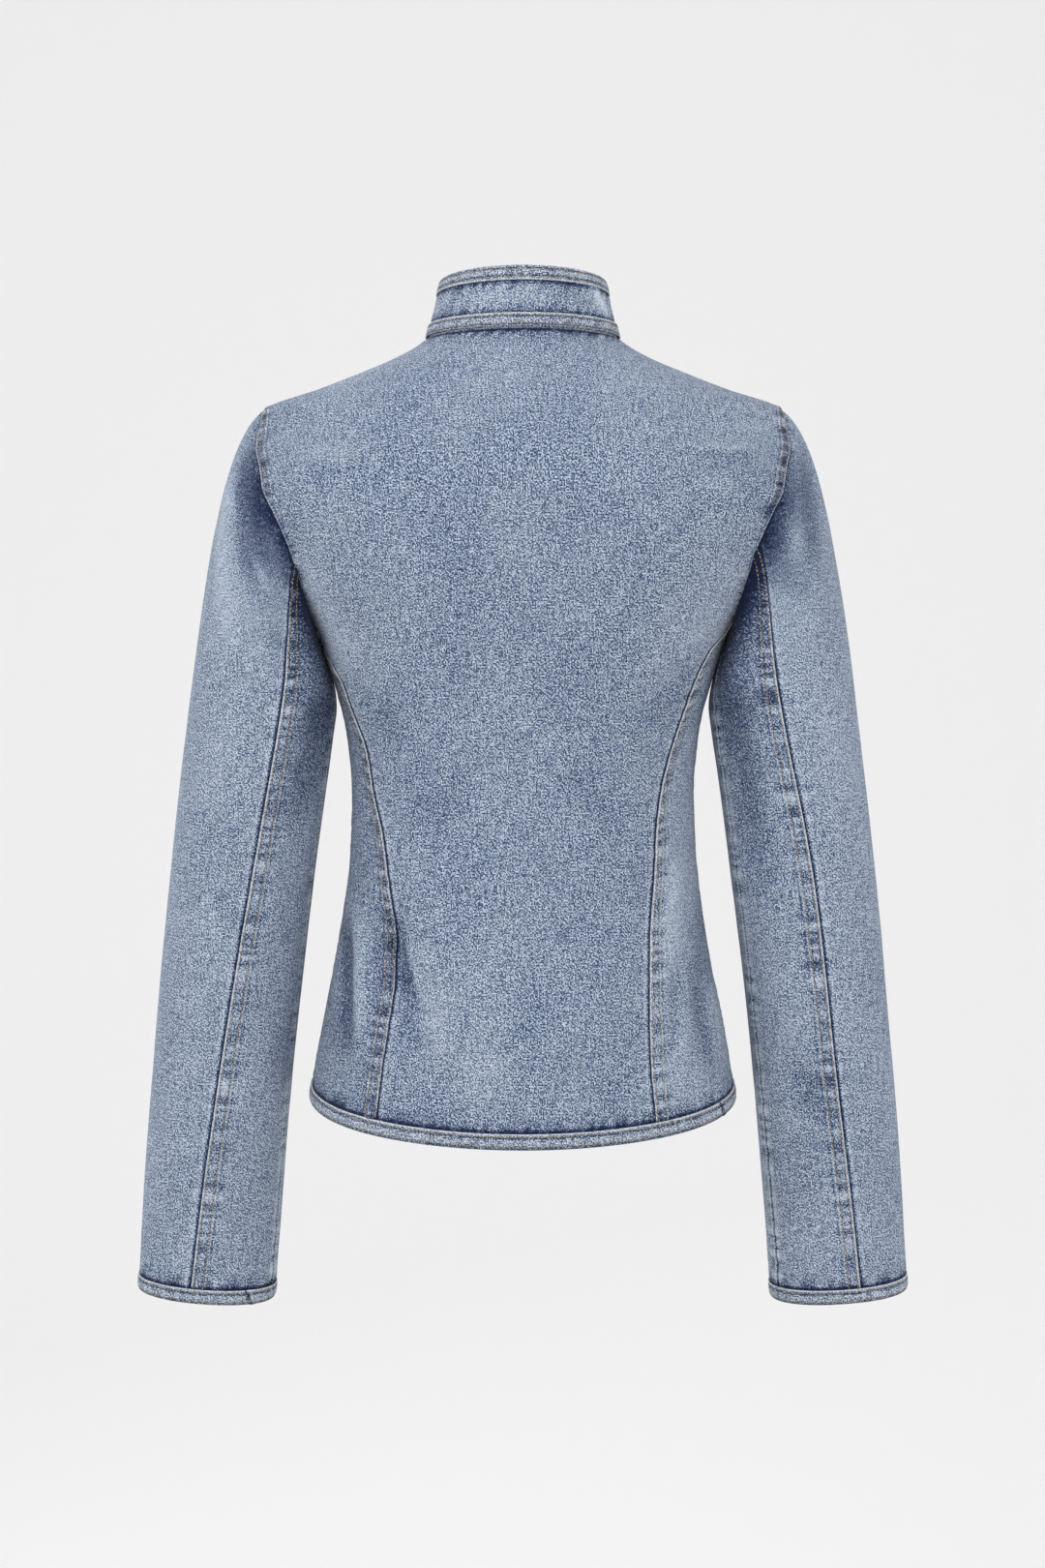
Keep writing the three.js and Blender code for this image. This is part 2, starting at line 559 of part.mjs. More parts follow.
// The cuff's binding goes all the way round, and its two ends meet at the sleeve's inner seam.
function cuffBinding(side) {
  const inner = degrees(sleeveSeam[side === "left" ? "innerLeft" : "innerRight"](1));
  const back = degrees(sleeveSeam[side === "left" ? "backLeft" : "backRight"](1));
  const half = (2 * SEAM_GAP) / SLEEVE_ARC.radius;
  const at = evenly([inner - 2 * Math.PI + half, back, inner - half], [COLUMNS.sleeveTop, COLUMNS.sleeveUnder]);
  const surface = onSleeve(side, (u, v) => ({ angle: at(u), at: 1 - v }));
  return binding(`cuff_binding_${side}`, at.columns, (u, depth) => surface(u, depth / SLEEVE_ARC.length, 0), DENIM);
}

// The hem's binding lies on the lowest points of the panels, from the left front round the back to the right.
function hemBinding() {
  const [left, front, right] = ["backLeft", "front", "backRight"].map((seam) => princessAngle(seam, HEM.z));
  const edgeAngle = frontEdgeAngle(HEM.z);
  const stops = [edgeAngle, front, 0, left, Math.PI - right, Math.PI, Math.PI - front, Math.PI - edgeAngle];
  const columns = ["front", "sideFront", "sideBack", "back", "sideBack", "sideFront", "front"];
  const at = evenly(stops, columns.map((name) => COLUMNS[name]));
  const surface = (u, depth) => body(at(u), HEM.z + depth, u < 0.5 ? LIFT.left : LIFT.right);
  return binding("hem_binding", at.columns, surface, DENIM);
}

// The collar's outer face, from the wearer's left end round the back to the right end.
function collarFace(u, v) {
  const turn = lerp(-Math.PI / 2 + COLLAR_END, (3 * Math.PI) / 2 - COLLAR_END, u);
  const seam = neckline(turn > Math.PI ? turn - 2 * Math.PI : turn);
  const foot = body(seam.angle, seam.level);
  const across = Math.sin(turn);
  foot.x -= 2 * SEAM_GAP * Math.cos(turn);
  foot.y -= 2 * SEAM_GAP * across;
  foot.z += SEAM_GAP;
  const height = lerp(COLLAR_HEIGHT.front, COLLAR_HEIGHT.back, (1 + across) / 2);
  const depth = across > 0 ? COLLAR_TOP.back : COLLAR_TOP.front;
  const top = new THREE.Vector3(COLLAR_TOP.side * Math.cos(turn), depth * across, foot.z + height);
  return foot.lerp(top, v);
}

function collarPieces() {
  const step = { u: 0.004, v: 0.01 };
  const off = (height) => (u, v) => collarFace(u, v).addScaledVector(facing(collarFace, u, v, step), height);
  const band = (v) => lerp(0.03, 0.03 + COLLAR_BAND / COLLAR_HEIGHT.back, v);
  const bandFace = (height) => (u, v) => off(height)(lerp(0.003, 0.997, u), band(v));
  const topEdge = (u, depth) => collarFace(lerp(1.001, -0.001, u), 1 - depth / COLLAR_HEIGHT.back);
  return [
    wall("collar", "denim", [COLUMNS.band, 3], off(0), off(-COLLAR_DENIM)),
    wall("neck_band", "trim", [COLUMNS.band, 1], bandFace(SEAM_GAP + TAPE), bandFace(SEAM_GAP)),
    binding("collar_binding", COLUMNS.band, topEdge, COLLAR_DENIM),
  ];
}

// Metal shank buttons on the centre line of the right front.
function buttons() {
  const { cap, shank, shankHeight, height } = BUTTON;
  const profile = [
    [0, 0], [shank, 0], [shank, shankHeight], [cap, shankHeight], [cap, height - 1], [cap * 0.85, height], [0, height],
  ].map(([x, y]) => new THREE.Vector2(x, y));
  return Array.from({ length: BUTTON.count }, (_, i) => {
    const level = BUTTON.first - i * BUTTON.spacing;
    const mesh = new THREE.Mesh(new THREE.LatheGeometry(profile, 16), SLOTS.metal);
    const out = bodyFacing(-Math.PI / 2, level);
    mesh.name = `button_${i + 1}`;
    mesh.quaternion.setFromUnitVectors(new THREE.Vector3(0, 1, 0), out);
    mesh.position.copy(body(-Math.PI / 2, level, CLOSURE.lift)).addScaledVector(out, SEAM_GAP);
    return mesh;
  });
}

const jacket = new THREE.Group();
jacket.add(backPanel());
for (const side of ["left", "right"]) {
  jacket.add(...sidePanels(side), frontPanel(side), ...sleevePanels(side), cuffBinding(side));
}
jacket.add(hemBinding(), ...collarPieces(), ...buttons());
export default jacket;
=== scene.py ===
import math

import bmesh
import bpy
import numpy as np
from mathutils import Matrix, Vector


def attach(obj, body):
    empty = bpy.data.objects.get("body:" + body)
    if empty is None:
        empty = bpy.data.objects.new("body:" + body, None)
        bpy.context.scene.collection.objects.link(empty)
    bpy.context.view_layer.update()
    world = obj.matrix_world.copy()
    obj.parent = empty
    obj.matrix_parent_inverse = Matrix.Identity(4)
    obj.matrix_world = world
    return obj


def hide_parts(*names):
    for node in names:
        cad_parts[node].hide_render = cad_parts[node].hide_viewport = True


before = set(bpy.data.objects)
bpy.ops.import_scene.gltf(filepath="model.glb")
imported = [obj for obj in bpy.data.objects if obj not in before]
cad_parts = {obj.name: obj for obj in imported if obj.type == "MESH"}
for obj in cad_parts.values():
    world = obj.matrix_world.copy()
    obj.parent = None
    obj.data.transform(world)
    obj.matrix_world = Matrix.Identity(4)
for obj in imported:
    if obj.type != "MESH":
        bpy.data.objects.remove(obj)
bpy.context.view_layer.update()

lens, distance, eye_level = 75.3, 2.27, -0.307
camera = bpy.data.objects.new("camera", bpy.data.cameras.new("camera"))
camera.data.lens = lens
camera.data.sensor_width = 36.0
camera.data.clip_end = 50.0
camera.location = (0.0003, distance, eye_level)
camera.rotation_euler = (math.radians(90), 0, math.radians(180))
bpy.context.scene.collection.objects.link(camera)
bpy.context.scene.camera = camera
bpy.context.scene.view_settings.view_transform = "Standard"


def lamp(name, place, aim, width, height, watts):
    light = bpy.data.lights.new(name, "AREA")
    light.shape, light.size, light.size_y = "RECTANGLE", width, height
    light.energy = watts
    holder = bpy.data.objects.new(name, light)
    holder.location = place
    holder.rotation_euler = (Vector(aim) - Vector(place)).to_track_quat("-Z", "Y").to_euler()
    bpy.context.scene.collection.objects.link(holder)


middle = (0, 0, -0.3)
lamp("soft_lamp_left", (1.7, 1.35, 0.5), middle, 1.0, 1.3, 17)
lamp("soft_lamp_right", (-1.7, 1.45, 0.35), middle, 1.0, 1.3, 12)
lamp("top_lamp", (0.2, 0.9, 1.55), middle, 1.5, 0.9, 9)
lamp("front_lamp", (0.6, -1.9, 0.7), middle, 1.2, 1.2, 10)

world = bpy.data.worlds.new("studio")
bpy.context.scene.world = world
world.use_nodes = True
world.node_tree.nodes["Background"].inputs["Color"].default_value = (1, 1, 1, 1)
world.node_tree.nodes["Background"].inputs["Strength"].default_value = 0.84

floor_mesh = bpy.data.meshes.new("studio_floor")
floor_build = bmesh.new()
bmesh.ops.create_grid(floor_build, x_segments=2, y_segments=140, size=14.0)
floor_level, flat_until, sweep_radius = -1.42, 2.0, 1.6
for corner in floor_build.verts:
    back = -corner.co.y - flat_until  # how far the floor has gone on behind the jacket
    if back > 0:
        turn = min(back, sweep_radius * math.pi / 2)
        corner.co.y = -flat_until - sweep_radius * math.sin(turn / sweep_radius)
        corner.co.z = sweep_radius * (1 - math.cos(turn / sweep_radius)) + max(0, back - turn)
    corner.co.z += floor_level
floor_build.to_mesh(floor_mesh)
floor_build.free()
for face in floor_mesh.polygons:
    face.use_smooth = True
studio_floor = bpy.data.objects.new("studio_floor", floor_mesh)
bpy.context.scene.collection.objects.link(studio_floor)
paper = bpy.data.materials.new("pale_paper")
paper.use_nodes = True
paper.node_tree.nodes["Principled BSDF"].inputs["Base Color"].default_value = (0.9, 0.9, 0.9, 1)
paper.node_tree.nodes["Principled BSDF"].inputs["Roughness"].default_value = 0.9
floor_mesh.materials.append(paper)


# Back panel
# One wide piece of washed light denim from the hem to the neck, cut without a yoke or a centre seam.
# Its two long curved edges are felled to the side pieces, and it runs over the shoulders to the front.
mm = 0.001
denim_thickness = 1.4
tuck = 1.2  # how far a piece goes on under the one that is felled over it


def table(columns, *rows):
    return [dict(zip(columns.split(), row)) for row in rows]


def through(rows, key, column):
    """A smooth curve through one column of a table, which never overshoots between two rows."""
    rows = sorted(rows, key=lambda row: row[key])
    at = np.array([row[key] for row in rows], float)
    value = np.array([row[column] for row in rows], float)
    rise = np.diff(value) / np.diff(at)
    both = rise[:-1] * rise[1:]
    total = np.where(both > 0, rise[:-1] + rise[1:], 1)
    slope = np.concatenate([rise[:1], np.where(both > 0, 2 * both / total, 0), rise[-1:]])

    def curve(x):
        x = np.asarray(x, float)
        i = np.clip(np.searchsorted(at, x, side="right") - 1, 0, len(at) - 2)
        step = at[i + 1] - at[i]
        t = (x - at[i]) / step
        inside = (
            value[i] * (1 + 2 * t) * (1 - t) ** 2
            + slope[i] * step * t * (1 - t) ** 2
            + value[i + 1] * t * t * (3 - 2 * t)
            + slope[i + 1] * step * t * t * (t - 1)
        )
        below = value[0] + slope[0] * (x - at[0])
        above = value[-1] + slope[-1] * (x - at[-1])
        return np.where(x < at[0], below, np.where(x > at[-1], above, inside))

    return curve


def ease(low, high, x):
    t = np.clip((np.asarray(x, float) - low) / (high - low), 0, 1)
    return t * t * (3 - 2 * t)


def mix(a, b, t):
    return a + (b - a) * t


body_sections = table(
    "z side back front square",
    (8, 60, 59, 41, 2.0),
    (0, 67, 62, 45, 2.0),
    (-6, 75, 64, 48, 1.95),
    (-15, 92, 68, 52, 1.9),
    (-25, 116, 73, 57, 1.85),
    (-35, 143, 78, 62, 1.85),
    (-47, 177, 83, 67, 1.9),
    (-60, 188, 88, 73, 1.95),
    (-84, 199, 95, 86, 2.05),
    (-104, 199, 99, 96, 2.12),
    (-124, 190, 101, 105, 2.2),
    (-154, 172, 101, 116, 2.25),
    (-188, 150, 98, 125, 2.3),
    (-205, 140, 96, 127, 2.3),
    (-233, 131.5, 92, 124, 2.3),
    (-273, 121.6, 87, 111, 2.25),
    (-314, 118, 85, 101, 2.2),
    (-354, 119.3, 88, 98, 2.2),
    (-394, 124, 93, 101, 2.2),
    (-434, 130.7, 99, 106, 2.2),
    (-474, 138.7, 105, 110, 2.2),
    (-514, 146, 109, 113, 2.2),
    (-560, 153, 112, 116, 2.2),
)
body_size = {name: through(body_sections, "z", name) for name in ("side", "back", "front", "square")}
hem_level, hem_back_drop, hem_front_drop, hem_fades_at = -520, 27, -6, -360
shoulder_tip, underarm = -47, -205
armhole_back, armhole_front = math.radians(30), math.radians(36)
neck_side, neck_back, neck_front = 67, 62, 70
lap, lap_lift, lap_fades_at = 24, 2.9, 62

# The long seams, as distances from the centre line, and where they leave the armhole.
long_seams = table(
    "z back_left back_right front",
    (-217, 134.6, 125.6, 124),
    (-235, 124.2, 117.5, 113),
    (-260, 115, 108.5, 104),
    (-285, 105.7, 100, 96),
    (-312, 101.2, 93, 89),
    (-341, 94.5, 89.5, 84),
    (-365, 91.2, 88.4, 83),
    (-408, 86.4, 85, 84),
    (-430, 86.2, 84.7, 85.5),
    (-453, 89.4, 84.6, 88),
    (-478, 93.8, 85.4, 90),
    (-503, 97.2, 88, 93),
    (-530, 101.5, 90.8, 96),
)
seam_top = {"back_left": math.radians(160), "back_right": math.radians(150), "front": math.radians(218)}
seam_swing = {"back_left": 17, "back_right": 23, "front": 40}

# Folds in the cloth of the body, each a soft line: + stands out, - sinks in.
body_folds = {
    "back": table(
        "x0 z0 x1 z1 width height",
        (90, -386, 66, -478, 11, -2.2),
        (78, -398, 52, -490, 12, 1.6),
        (118, -395, 124, -500, 9, -2.4),
        (108, -388, 112, -492, 9, 1.8),
        (-102, -350, -100, -440, 10, 2.2),
        (-116, -360, -122, -500, 10, -1.8),
        (-152, -150, -122, -232, 13, 1.8),
        (150, -150, 120, -232, 13, 1.8),
        (-112, -82, -166, -80, 2.6, 1.8),
        (-110, -87, -160, -87, 3.5, -0.5),
        (-128, -70, -166, -66, 4, 0.9),
        (-122, -104, -150, -112, 6, 0.9),
        (106, -88, 158, -84, 8, 0.9),
        (112, -99, 150, -101, 7, -0.7),
        (-107, -356, -95, -402, 4.5, 1.3),
        (-102, -362, -92, -398, 4, -0.9),
        (-116, -361, -115, -434, 5, 1.4),
        (-110, -430, -106, -506, 5, 1.2),
        (-104, -420, -100, -500, 5, -1.0),
        (-126, -437, -136, -499, 6, 1.4),
        (-120, -440, -128, -508, 5, -1.2),
        (114, -380, 109, -494, 5, 1.3),
        (121, -388, 117, -500, 4.5, -2.4),
        (127, -400, 126, -490, 4, 1.2),
        (101, -400, 98, -470, 6, -0.8),
        (88, -396, 73, -452, 5, -2.0),
        (80, -406, 64, -460, 4, 1.7),
        (66, -456, 50, -492, 7, 0.9),
        (40, -300, 66, -336, 14, -0.7),
        (-36, -296, -62, -334, 14, -0.7),
        (128, -196, 84, -262, 10, 1.1),
        (118, -214, 78, -284, 9, -0.9),
        (-124, -190, -80, -256, 10, 1.2),
        (-116, -208, -76, -278, 9, -0.9),
        (20, -470, 36, -535, 13, 0.9),
        (-28, -462, -40, -538, 14, 0.8),
    ),
    "front": table(
        "x0 z0 x1 z1 width height",
        (112, -235, 70, -300, 16, -2.6),
        (-110, -228, -72, -305, 16, -2.8),
        (96, -350, 78, -480, 15, 2.4),
        (-98, -345, -84, -470, 15, 2.2),
        (60, -300, 20, -322, 12, -1.2),
        (-58, -298, -24, -320, 12, -1.2),
        (150, -110, 96, -176, 13, 1.4),
        (-150, -112, -98, -180, 13, 1.4),
        (40, -420, 34, -505, 14, 1.1),
        (-44, -424, -40, -505, 14, 1.1),
        (112, -380, 104, -490, 6, 1.3),
        (-114, -384, -108, -494, 6, 1.2),
    ),
}


def outline(angle, square):
    return (np.abs(np.cos(angle)) ** square + np.abs(np.sin(angle)) ** square) ** (-1 / square)


def fold_height(fold, x, y, x0, y0, x1, y1):
    length = math.hypot(x1 - x0, y1 - y0)
    along = ((x - x0) * (x1 - x0) + (y - y0) * (y1 - y0)) / length
    across = ((x - x0) * (y1 - y0) - (y - y0) * (x1 - x0)) / length
    past = np.maximum(0, np.maximum(-along, along - length))
    width = fold["width"]
    ends = ease(-width, length * 0.3, along) * ease(-length - width, -length * 0.6, -along)
    return fold["height"] * np.exp(-((across / width) ** 2)) * ends * np.exp(-((past / width) ** 2))


def crease(fold, point):
    """The height of a fold that lies between two places seen from behind or in front."""
    return fold_height(fold, point[..., 0], point[..., 2], fold["x0"], fold["z0"], fold["x1"], fold["z1"])


def body_bare(angle, level):
    across = np.sin(angle)
    drop = np.where(across > 0, hem_back_drop, hem_front_drop) * np.abs(across) ** 1.2
    z = level - drop * ease(-hem_fades_at, -hem_level, -level)
    reach = outline(angle, body_size["square"](z))
    depth = np.where(across > 0, body_size["back"](z), body_size["front"](z))
    return np.stack([body_size["side"](z) * reach * np.cos(angle), depth * reach * across, z + 0 * angle], -1)


def unit(vectors):
    return vectors / np.linalg.norm(vectors, axis=-1, keepdims=True)


def facing(surface, u, v, du, dv):
    right = surface(u + du, v) - surface(u - du, v)
    up = surface(u, v + dv) - surface(u, v - dv)
    return unit(np.cross(right, up))


def ripple(x, y, seed):
    """The slight unevenness of cloth that hangs by itself, about 1 either way."""
    return (
        0.5 * np.sin(x / 17 + 1.3 * np.sin(y / 31 + seed) + seed)
        + 0.3 * np.sin(y / 23 + 1.7 * np.sin(x / 27 - seed) + 2 * seed)
        + 0.2 * np.sin((x + y) / 11 + 2.1 * np.sin(y / 19) + 3 * seed)
    )


def body_folded(angle, level):
    point = body_bare(angle, level)
    back = np.sin(angle) > 0
    out = 0.35 * ripple(point[..., 0], point[..., 2], 1.0)
    for face, folds in body_folds.items():
        for fold in folds:
            out = out + np.where(back == (face == "back"), crease(fold, point), 0)
    return out


def body(angle, level, lift=0):
    point = body_bare(angle, level)
    near = ease(-lap_fades_at, -lap / 2, -np.abs(point[..., 0]))
    out = body_folded(angle, level) + np.where(np.sin(angle) > 0, 0, lift * near)
    return point + facing(body_bare, angle, level, 0.01, 0.5) * out[..., None]


def rise(points):
    """How far up the cloth a place on the body lies: its height, and its way in over the shoulder."""
    return points[..., 2] + 0.8 * ease(-110, -60, points[..., 2]) * (85 - np.abs(points[..., 1]))


def further(angle, level, distance):
    speed = np.linalg.norm(body_bare(angle + 0.002, level) - body_bare(angle - 0.002, level), axis=-1) / 0.004
    return angle + distance / speed


def angle_at(x, level, face):
    level = np.asarray(level, float)
    low, high = np.zeros_like(level), np.full_like(level, math.pi)
    sign = 1 if face == "back" else -1
    for _ in range(30):
        middle = (low + high) / 2
        wide = body_bare(sign * middle, level)[..., 0] > x
        low, high = np.where(wide, middle, low), np.where(wide, high, middle)
    return sign * low


def armhole(turn):
    reach = np.where(np.sin(turn) > 0, armhole_back, armhole_front)
    centre, half = (shoulder_tip + underarm) / 2, (shoulder_tip - underarm) / 2
    return reach * np.sin(turn), centre + half * np.cos(turn)


def neckline(turn):
    turn = np.asarray(turn, float)
    x = neck_side * np.cos(turn)
    y = np.where(np.sin(turn) > 0, neck_back, neck_front) * np.sin(turn)
    low, high = np.full_like(x, -120.0), np.zeros_like(x)
    for _ in range(34):
        z = (low + high) / 2
        square = body_size["square"](z)
        inside = np.abs(x / body_size["side"](z)) ** square + np.abs(y / body_size["front"](z)) ** square < 1
        low, high = np.where(inside, z, low), np.where(inside, high, z)
    front = np.arctan2(y / body_size["front"](low), x / body_size["side"](low))
    return np.where(y >= 0, turn, front), np.where(y >= 0, 0, low)


seam_curve = {name: through(long_seams, "z", name) for name in seam_top}


def long_seam(name, level):
    start_angle, start_level = armhole(seam_top[name])
    angle = angle_at(seam_curve[name](level), level, "front" if name == "front" else "back")
    return mix(start_angle, angle, ease(0, seam_swing[name], start_level - level))


def edge(*stretches):
    """A panel's edge, joined from stretches that each take a share of it."""

    def line(v):
        v = np.asarray(v, float)
        angle, level, start = np.zeros_like(v), np.zeros_like(v), 0.0
        for number, (share, stretch) in enumerate(stretches):
            t = np.clip((v - start) / share, 0, 1)
            a, z = stretch(t)
            here = (v >= start - 1e-9) if number else np.ones_like(v, bool)
            angle, level = np.where(here, a, angle), np.where(here, z, level)
            start += share
        return angle, level

    return line


def climb(low, high, angle):
    return lambda t: (angle(mix(low, high, t)), mix(low, high, t))


def beside_seam(name, past=0.0):
    """Along a long seam, or past it under its neighbour, where it ends at the armhole again."""
    top = float(armhole(seam_top[name])[1])
    return climb(hem_level, top, lambda z: further(long_seam(name, z), z, past * ease(0, 14, top - z)))


def round_armhole(start, end):
    return lambda t: armhole(mix(start, end, t))


def panel(low, high, start, end):
    """The place on the body for every share (u, v) of a panel between four edges."""

    def where(u, v):
        zero, one, places = np.zeros(1), np.ones(1), []
        for k in (0, 1):
            sides = mix(start(v)[k], end(v)[k], u)
            ends = mix(low(u)[k], high(u)[k], v)
            corners = mix(mix(low(zero)[k], low(one)[k], u), mix(high(zero)[k], high(one)[k], u), v)
            places.append(sides + ends - corners)
        return places

    return where


def straight_hem(start, end):
    zero = np.zeros(1)
    return lambda u: (mix(start(zero)[0], end(zero)[0], u), hem_level + 0 * u)


def stations(first, first_count, middle_count, last, last_count):
    """Shares from 0 to 1, close together over the first and the last stretch."""
    middle = np.linspace(first, 1 - last, middle_count + 1)[1:]
    end = np.linspace(1 - last, 1, last_count + 1)[1:]
    return np.concatenate([np.linspace(0, first, first_count + 1), middle, end])


def rope(along, seed):
    """The uneven puckers along a felled seam, about 9 mm apart."""
    phase = along / 1.5 + 2.3 * np.sin(along / 6.1 + seed) + 1.7 * np.sin(along / 10.3 + 2 * seed)
    pull = np.sin(phase) * (0.6 + 0.4 * np.sin(along / 14.2 + 3 * seed)) + 0.3 * np.sin(along / 3.3 + 5 * seed)
    return np.clip(pull, -0.85, 1)


def bump(x, middle, width):
    return np.exp(-(((x - middle) / width) ** 2))


def felled(away, along, width, seed):
    """The side of a seam that carries both seam allowances, stitched down in two rows."""
    pull = rope(along, seed)
    raised = ease(-0.9, 0.9, away) * (1 - ease(width - 1.4, width + 1, away))
    height = 0.85 * raised + 0.36 * pull * bump(away, width / 2, width * 0.5) + 0.2 * pull * bump(away, width + 2, 4)
    height = height - 0.3 * (bump(away, 1.7, 0.7) + bump(away, width - 1.5, 0.7))
    # Pale lines along the fold and the far edge are real abrasion with painted highlight. A painted shadow line
    # falls just past the strip, painted shade sits in the stitch-row dents, and the puckers are painted paler and
    # darker.
    wear_and_shading = 1.3 * bump(away, 0.4, 0.7) + 0.5 * bump(away, width - 0.2, 0.9) - 0.1 * bump(away, width / 2, width * 0.3)
    wear_and_shading = wear_and_shading + 0.8 * pull * bump(away, width / 2, width * 0.42) + 0.35 * pull * bump(away, width + 2.5, 3.5)
    wear_and_shading = wear_and_shading - 0.5 * bump(away, width + 1.2, 0.9) - 0.6 * (bump(away, 1.8, 0.8) + bump(away, width - 1.6, 0.8))
    return height, wear_and_shading


def tucked(away, along, seed):
    """The side of a seam that goes on under the other, with the same puckers."""
    pull = rope(along, seed)
    height = -0.9 * (1 - ease(-0.4, 1.8, away)) + 0.3 * pull * bump(away, 4, 5)
    # Painted shade in the groove where this piece goes under the other, a paler line past it, and the puckers
    # painted paler and darker.
    wear_and_shading = -1.5 * (1 - ease(0.4, 2.6, away)) + 0.3 * bump(away, 3.6, 1.2) + 0.25 * pull * bump(away, 4, 4)
    return height, wear_and_shading


def turned_in(away, along, seed):
    """The upper side of a plain seam: a soft edge without stitches."""
    pull = rope(along, seed)
    height = 0.3 * bump(away, 1.6, 2) + 0.2 * pull * bump(away, 4, 4)
    # A pale line on the soft edge is real abrasion with painted highlight. Painted shade lies just beyond it, and
    # the puckers are painted paler and darker.
    return height, 0.6 * bump(away, 0.8, 0.9) - 0.4 * bump(away, 3, 1.2) + 0.4 * pull * bump(away, 4, 4)


def pressed(away, along, covered, seed):
    """The cloth beside a binding or a band that covers its edge."""
    pull = rope(along, seed)
    height = 0.35 * pull * bump(away, covered + 3, 5) * ease(covered - 1, covered + 3, away)
    height = height - 0.3 * bump(away, covered + 0.5, 1.2) - 0.5 * (1 - ease(covered - 1.5, covered + 0.5, away))
    # A painted shadow line right beside the covering edge, a wider painted shade under it, and the puckers painted
    # paler and darker.
    wear_and_shading = -1.6 * bump(away, covered + 0.5, 1.4) - 0.45 * bump(away, covered, 7)
    return height, wear_and_shading + 0.6 * pull * bump(away, covered + 3, 4)


def node(tree, kind, **values):
    made = tree.nodes.new(kind)
    for key, value in values.items():
        if key in made.inputs:
            made.inputs[key].default_value = value
        else:
            setattr(made, key, value)
    return made


def colour(r, g, b):
    """A colour as it is read from a photograph, 0 to 255, in the renderer's own scale."""
    return (*(((c / 255 + 0.055) / 1.055) ** 2.4 if c > 10 else c / 3294.6 for c in (r, g, b)), 1)


def denim(name, *tones):
    """Washed twill: speckled white and blue threads, uneven slubs down the cloth, abrasion and painted highlight on
    its high places, painted shade in its low places.
    """
    cloth = bpy.data.materials.new(name)
    cloth.use_nodes = True
    tree = cloth.node_tree
    link = tree.links.new
    shader = tree.nodes["Principled BSDF"]
    shader.inputs["Roughness"].default_value = 0.92
    shader.inputs["Specular IOR Level"].default_value = 0.2
    shader.inputs["Sheen Weight"].default_value = 0.06
    shader.inputs["Sheen Roughness"].default_value = 0.5
    place = node(tree, "ShaderNodeUVMap", uv_map="cloth")
    dark, plain, pale, deep, worn_and_painted_light = (colour(*tone) for tone in tones)

    def worked(operation, *terms, **settings):
        made = node(tree, "ShaderNodeMath", operation=operation, **settings)
        for spot, term in zip(made.inputs, terms):
            if isinstance(term, float):
                spot.default_value = term
            else:
                link(term, spot)
        return made.outputs[0]

    def pattern(scale, stretch, detail, rough=0.6, turn=0.0):
        mapping = node(tree, "ShaderNodeMapping", vector_type="TEXTURE")
        mapping.inputs["Scale"].default_value = (1 / scale, 1 / scale / stretch, 1 / scale)
        mapping.inputs["Rotation"].default_value = (0, 0, turn)
        noise = node(tree, "ShaderNodeTexNoise", Detail=detail, Roughness=rough, Scale=1.0)
        link(place.outputs["UV"], mapping.inputs["Vector"])
        link(mapping.outputs["Vector"], noise.inputs["Vector"])
        return noise.outputs["Fac"]

    def sum_of(*parts):
        """The patterns, each with its share, around a middle of one half."""
        total = 0.5 - 0.5 * sum(share for value, share in parts)
        for value, share in parts:
            total = worked("MULTIPLY_ADD", value, share, total)
        return total

    speckle = pattern(1200, 0.82, 0.0, 0.9)
    slub = pattern(700, 0.1, 1.5, 0.6)
    weft = pattern(75, 9.5, 1.5, 0.6)
    twill = pattern(1250, 0.16, 1.0, 0.6, math.radians(40))
    crumb = pattern(420, 0.8, 2.0)
    wash = pattern(19, 0.7, 2.0)
    shade = sum_of((speckle, 3.1), (slub, 0.85), (weft, 0.6), (twill, 1.5), (wash, 0.32))
    # Per-point field from each piece: where positive, real abrasion and painted highlight; where negative, painted
    # shade with unfaded navy in creases, grooves and recesses.
    wear_and_shading_at = node(tree, "ShaderNodeAttribute", attribute_name="wear_and_shading")
    uneven = worked("MULTIPLY", wear_and_shading_at.outputs["Fac"], worked("MULTIPLY_ADD", crumb, 2.4, -0.2))
    ramp = node(tree, "ShaderNodeValToRGB")
    ramp.color_ramp.elements[0].position, ramp.color_ramp.elements[0].color = 0.0, dark
    ramp.color_ramp.elements[1].position, ramp.color_ramp.elements[1].color = 1.0, pale
    ramp.color_ramp.elements.new(0.5).color = plain
    link(worked("MULTIPLY_ADD", uneven, 0.3, shade), ramp.inputs["Fac"])
    shown = ramp.outputs["Color"]
    # Positive values blend toward the pale tone (abrasion with painted highlight). Negative values blend toward the
    # deep navy (painted shade).
    for share, tone in ((0.4, worn_and_painted_light), (-0.6, deep)):
        toned = node(tree, "ShaderNodeMix", data_type="RGBA")
        toned.inputs["B"].default_value = tone
        link(worked("MULTIPLY", uneven, share, use_clamp=True), toned.inputs["Factor"])
        link(shown, toned.inputs["A"])
        shown = toned.outputs["Result"]
    link(shown, shader.inputs["Base Color"])

    relief = sum_of((speckle, 1.0), (slub, 0.6), (twill, 0.8))
    bumps = node(tree, "ShaderNodeBump", Strength=0.55, Distance=0.00035)
    link(relief, bumps.inputs["Height"])
    link(bumps.outputs["Normal"], shader.inputs["Normal"])
    return cloth


# Each denim's dark, plain and pale threads, then the deep navy for painted shade and unfaded navy in its creases and
# recesses, and the pale tone for abrasion with painted highlight.
washed_denim = denim(
    "washed_denim", (30, 47, 88), (95, 110, 134), (184, 195, 208), (16, 27, 58), (196, 205, 214)
)
denim_inside = denim(
    "denim_inside", (92, 102, 120), (142, 150, 164), (196, 201, 210), (70, 82, 106), (196, 201, 210)
)


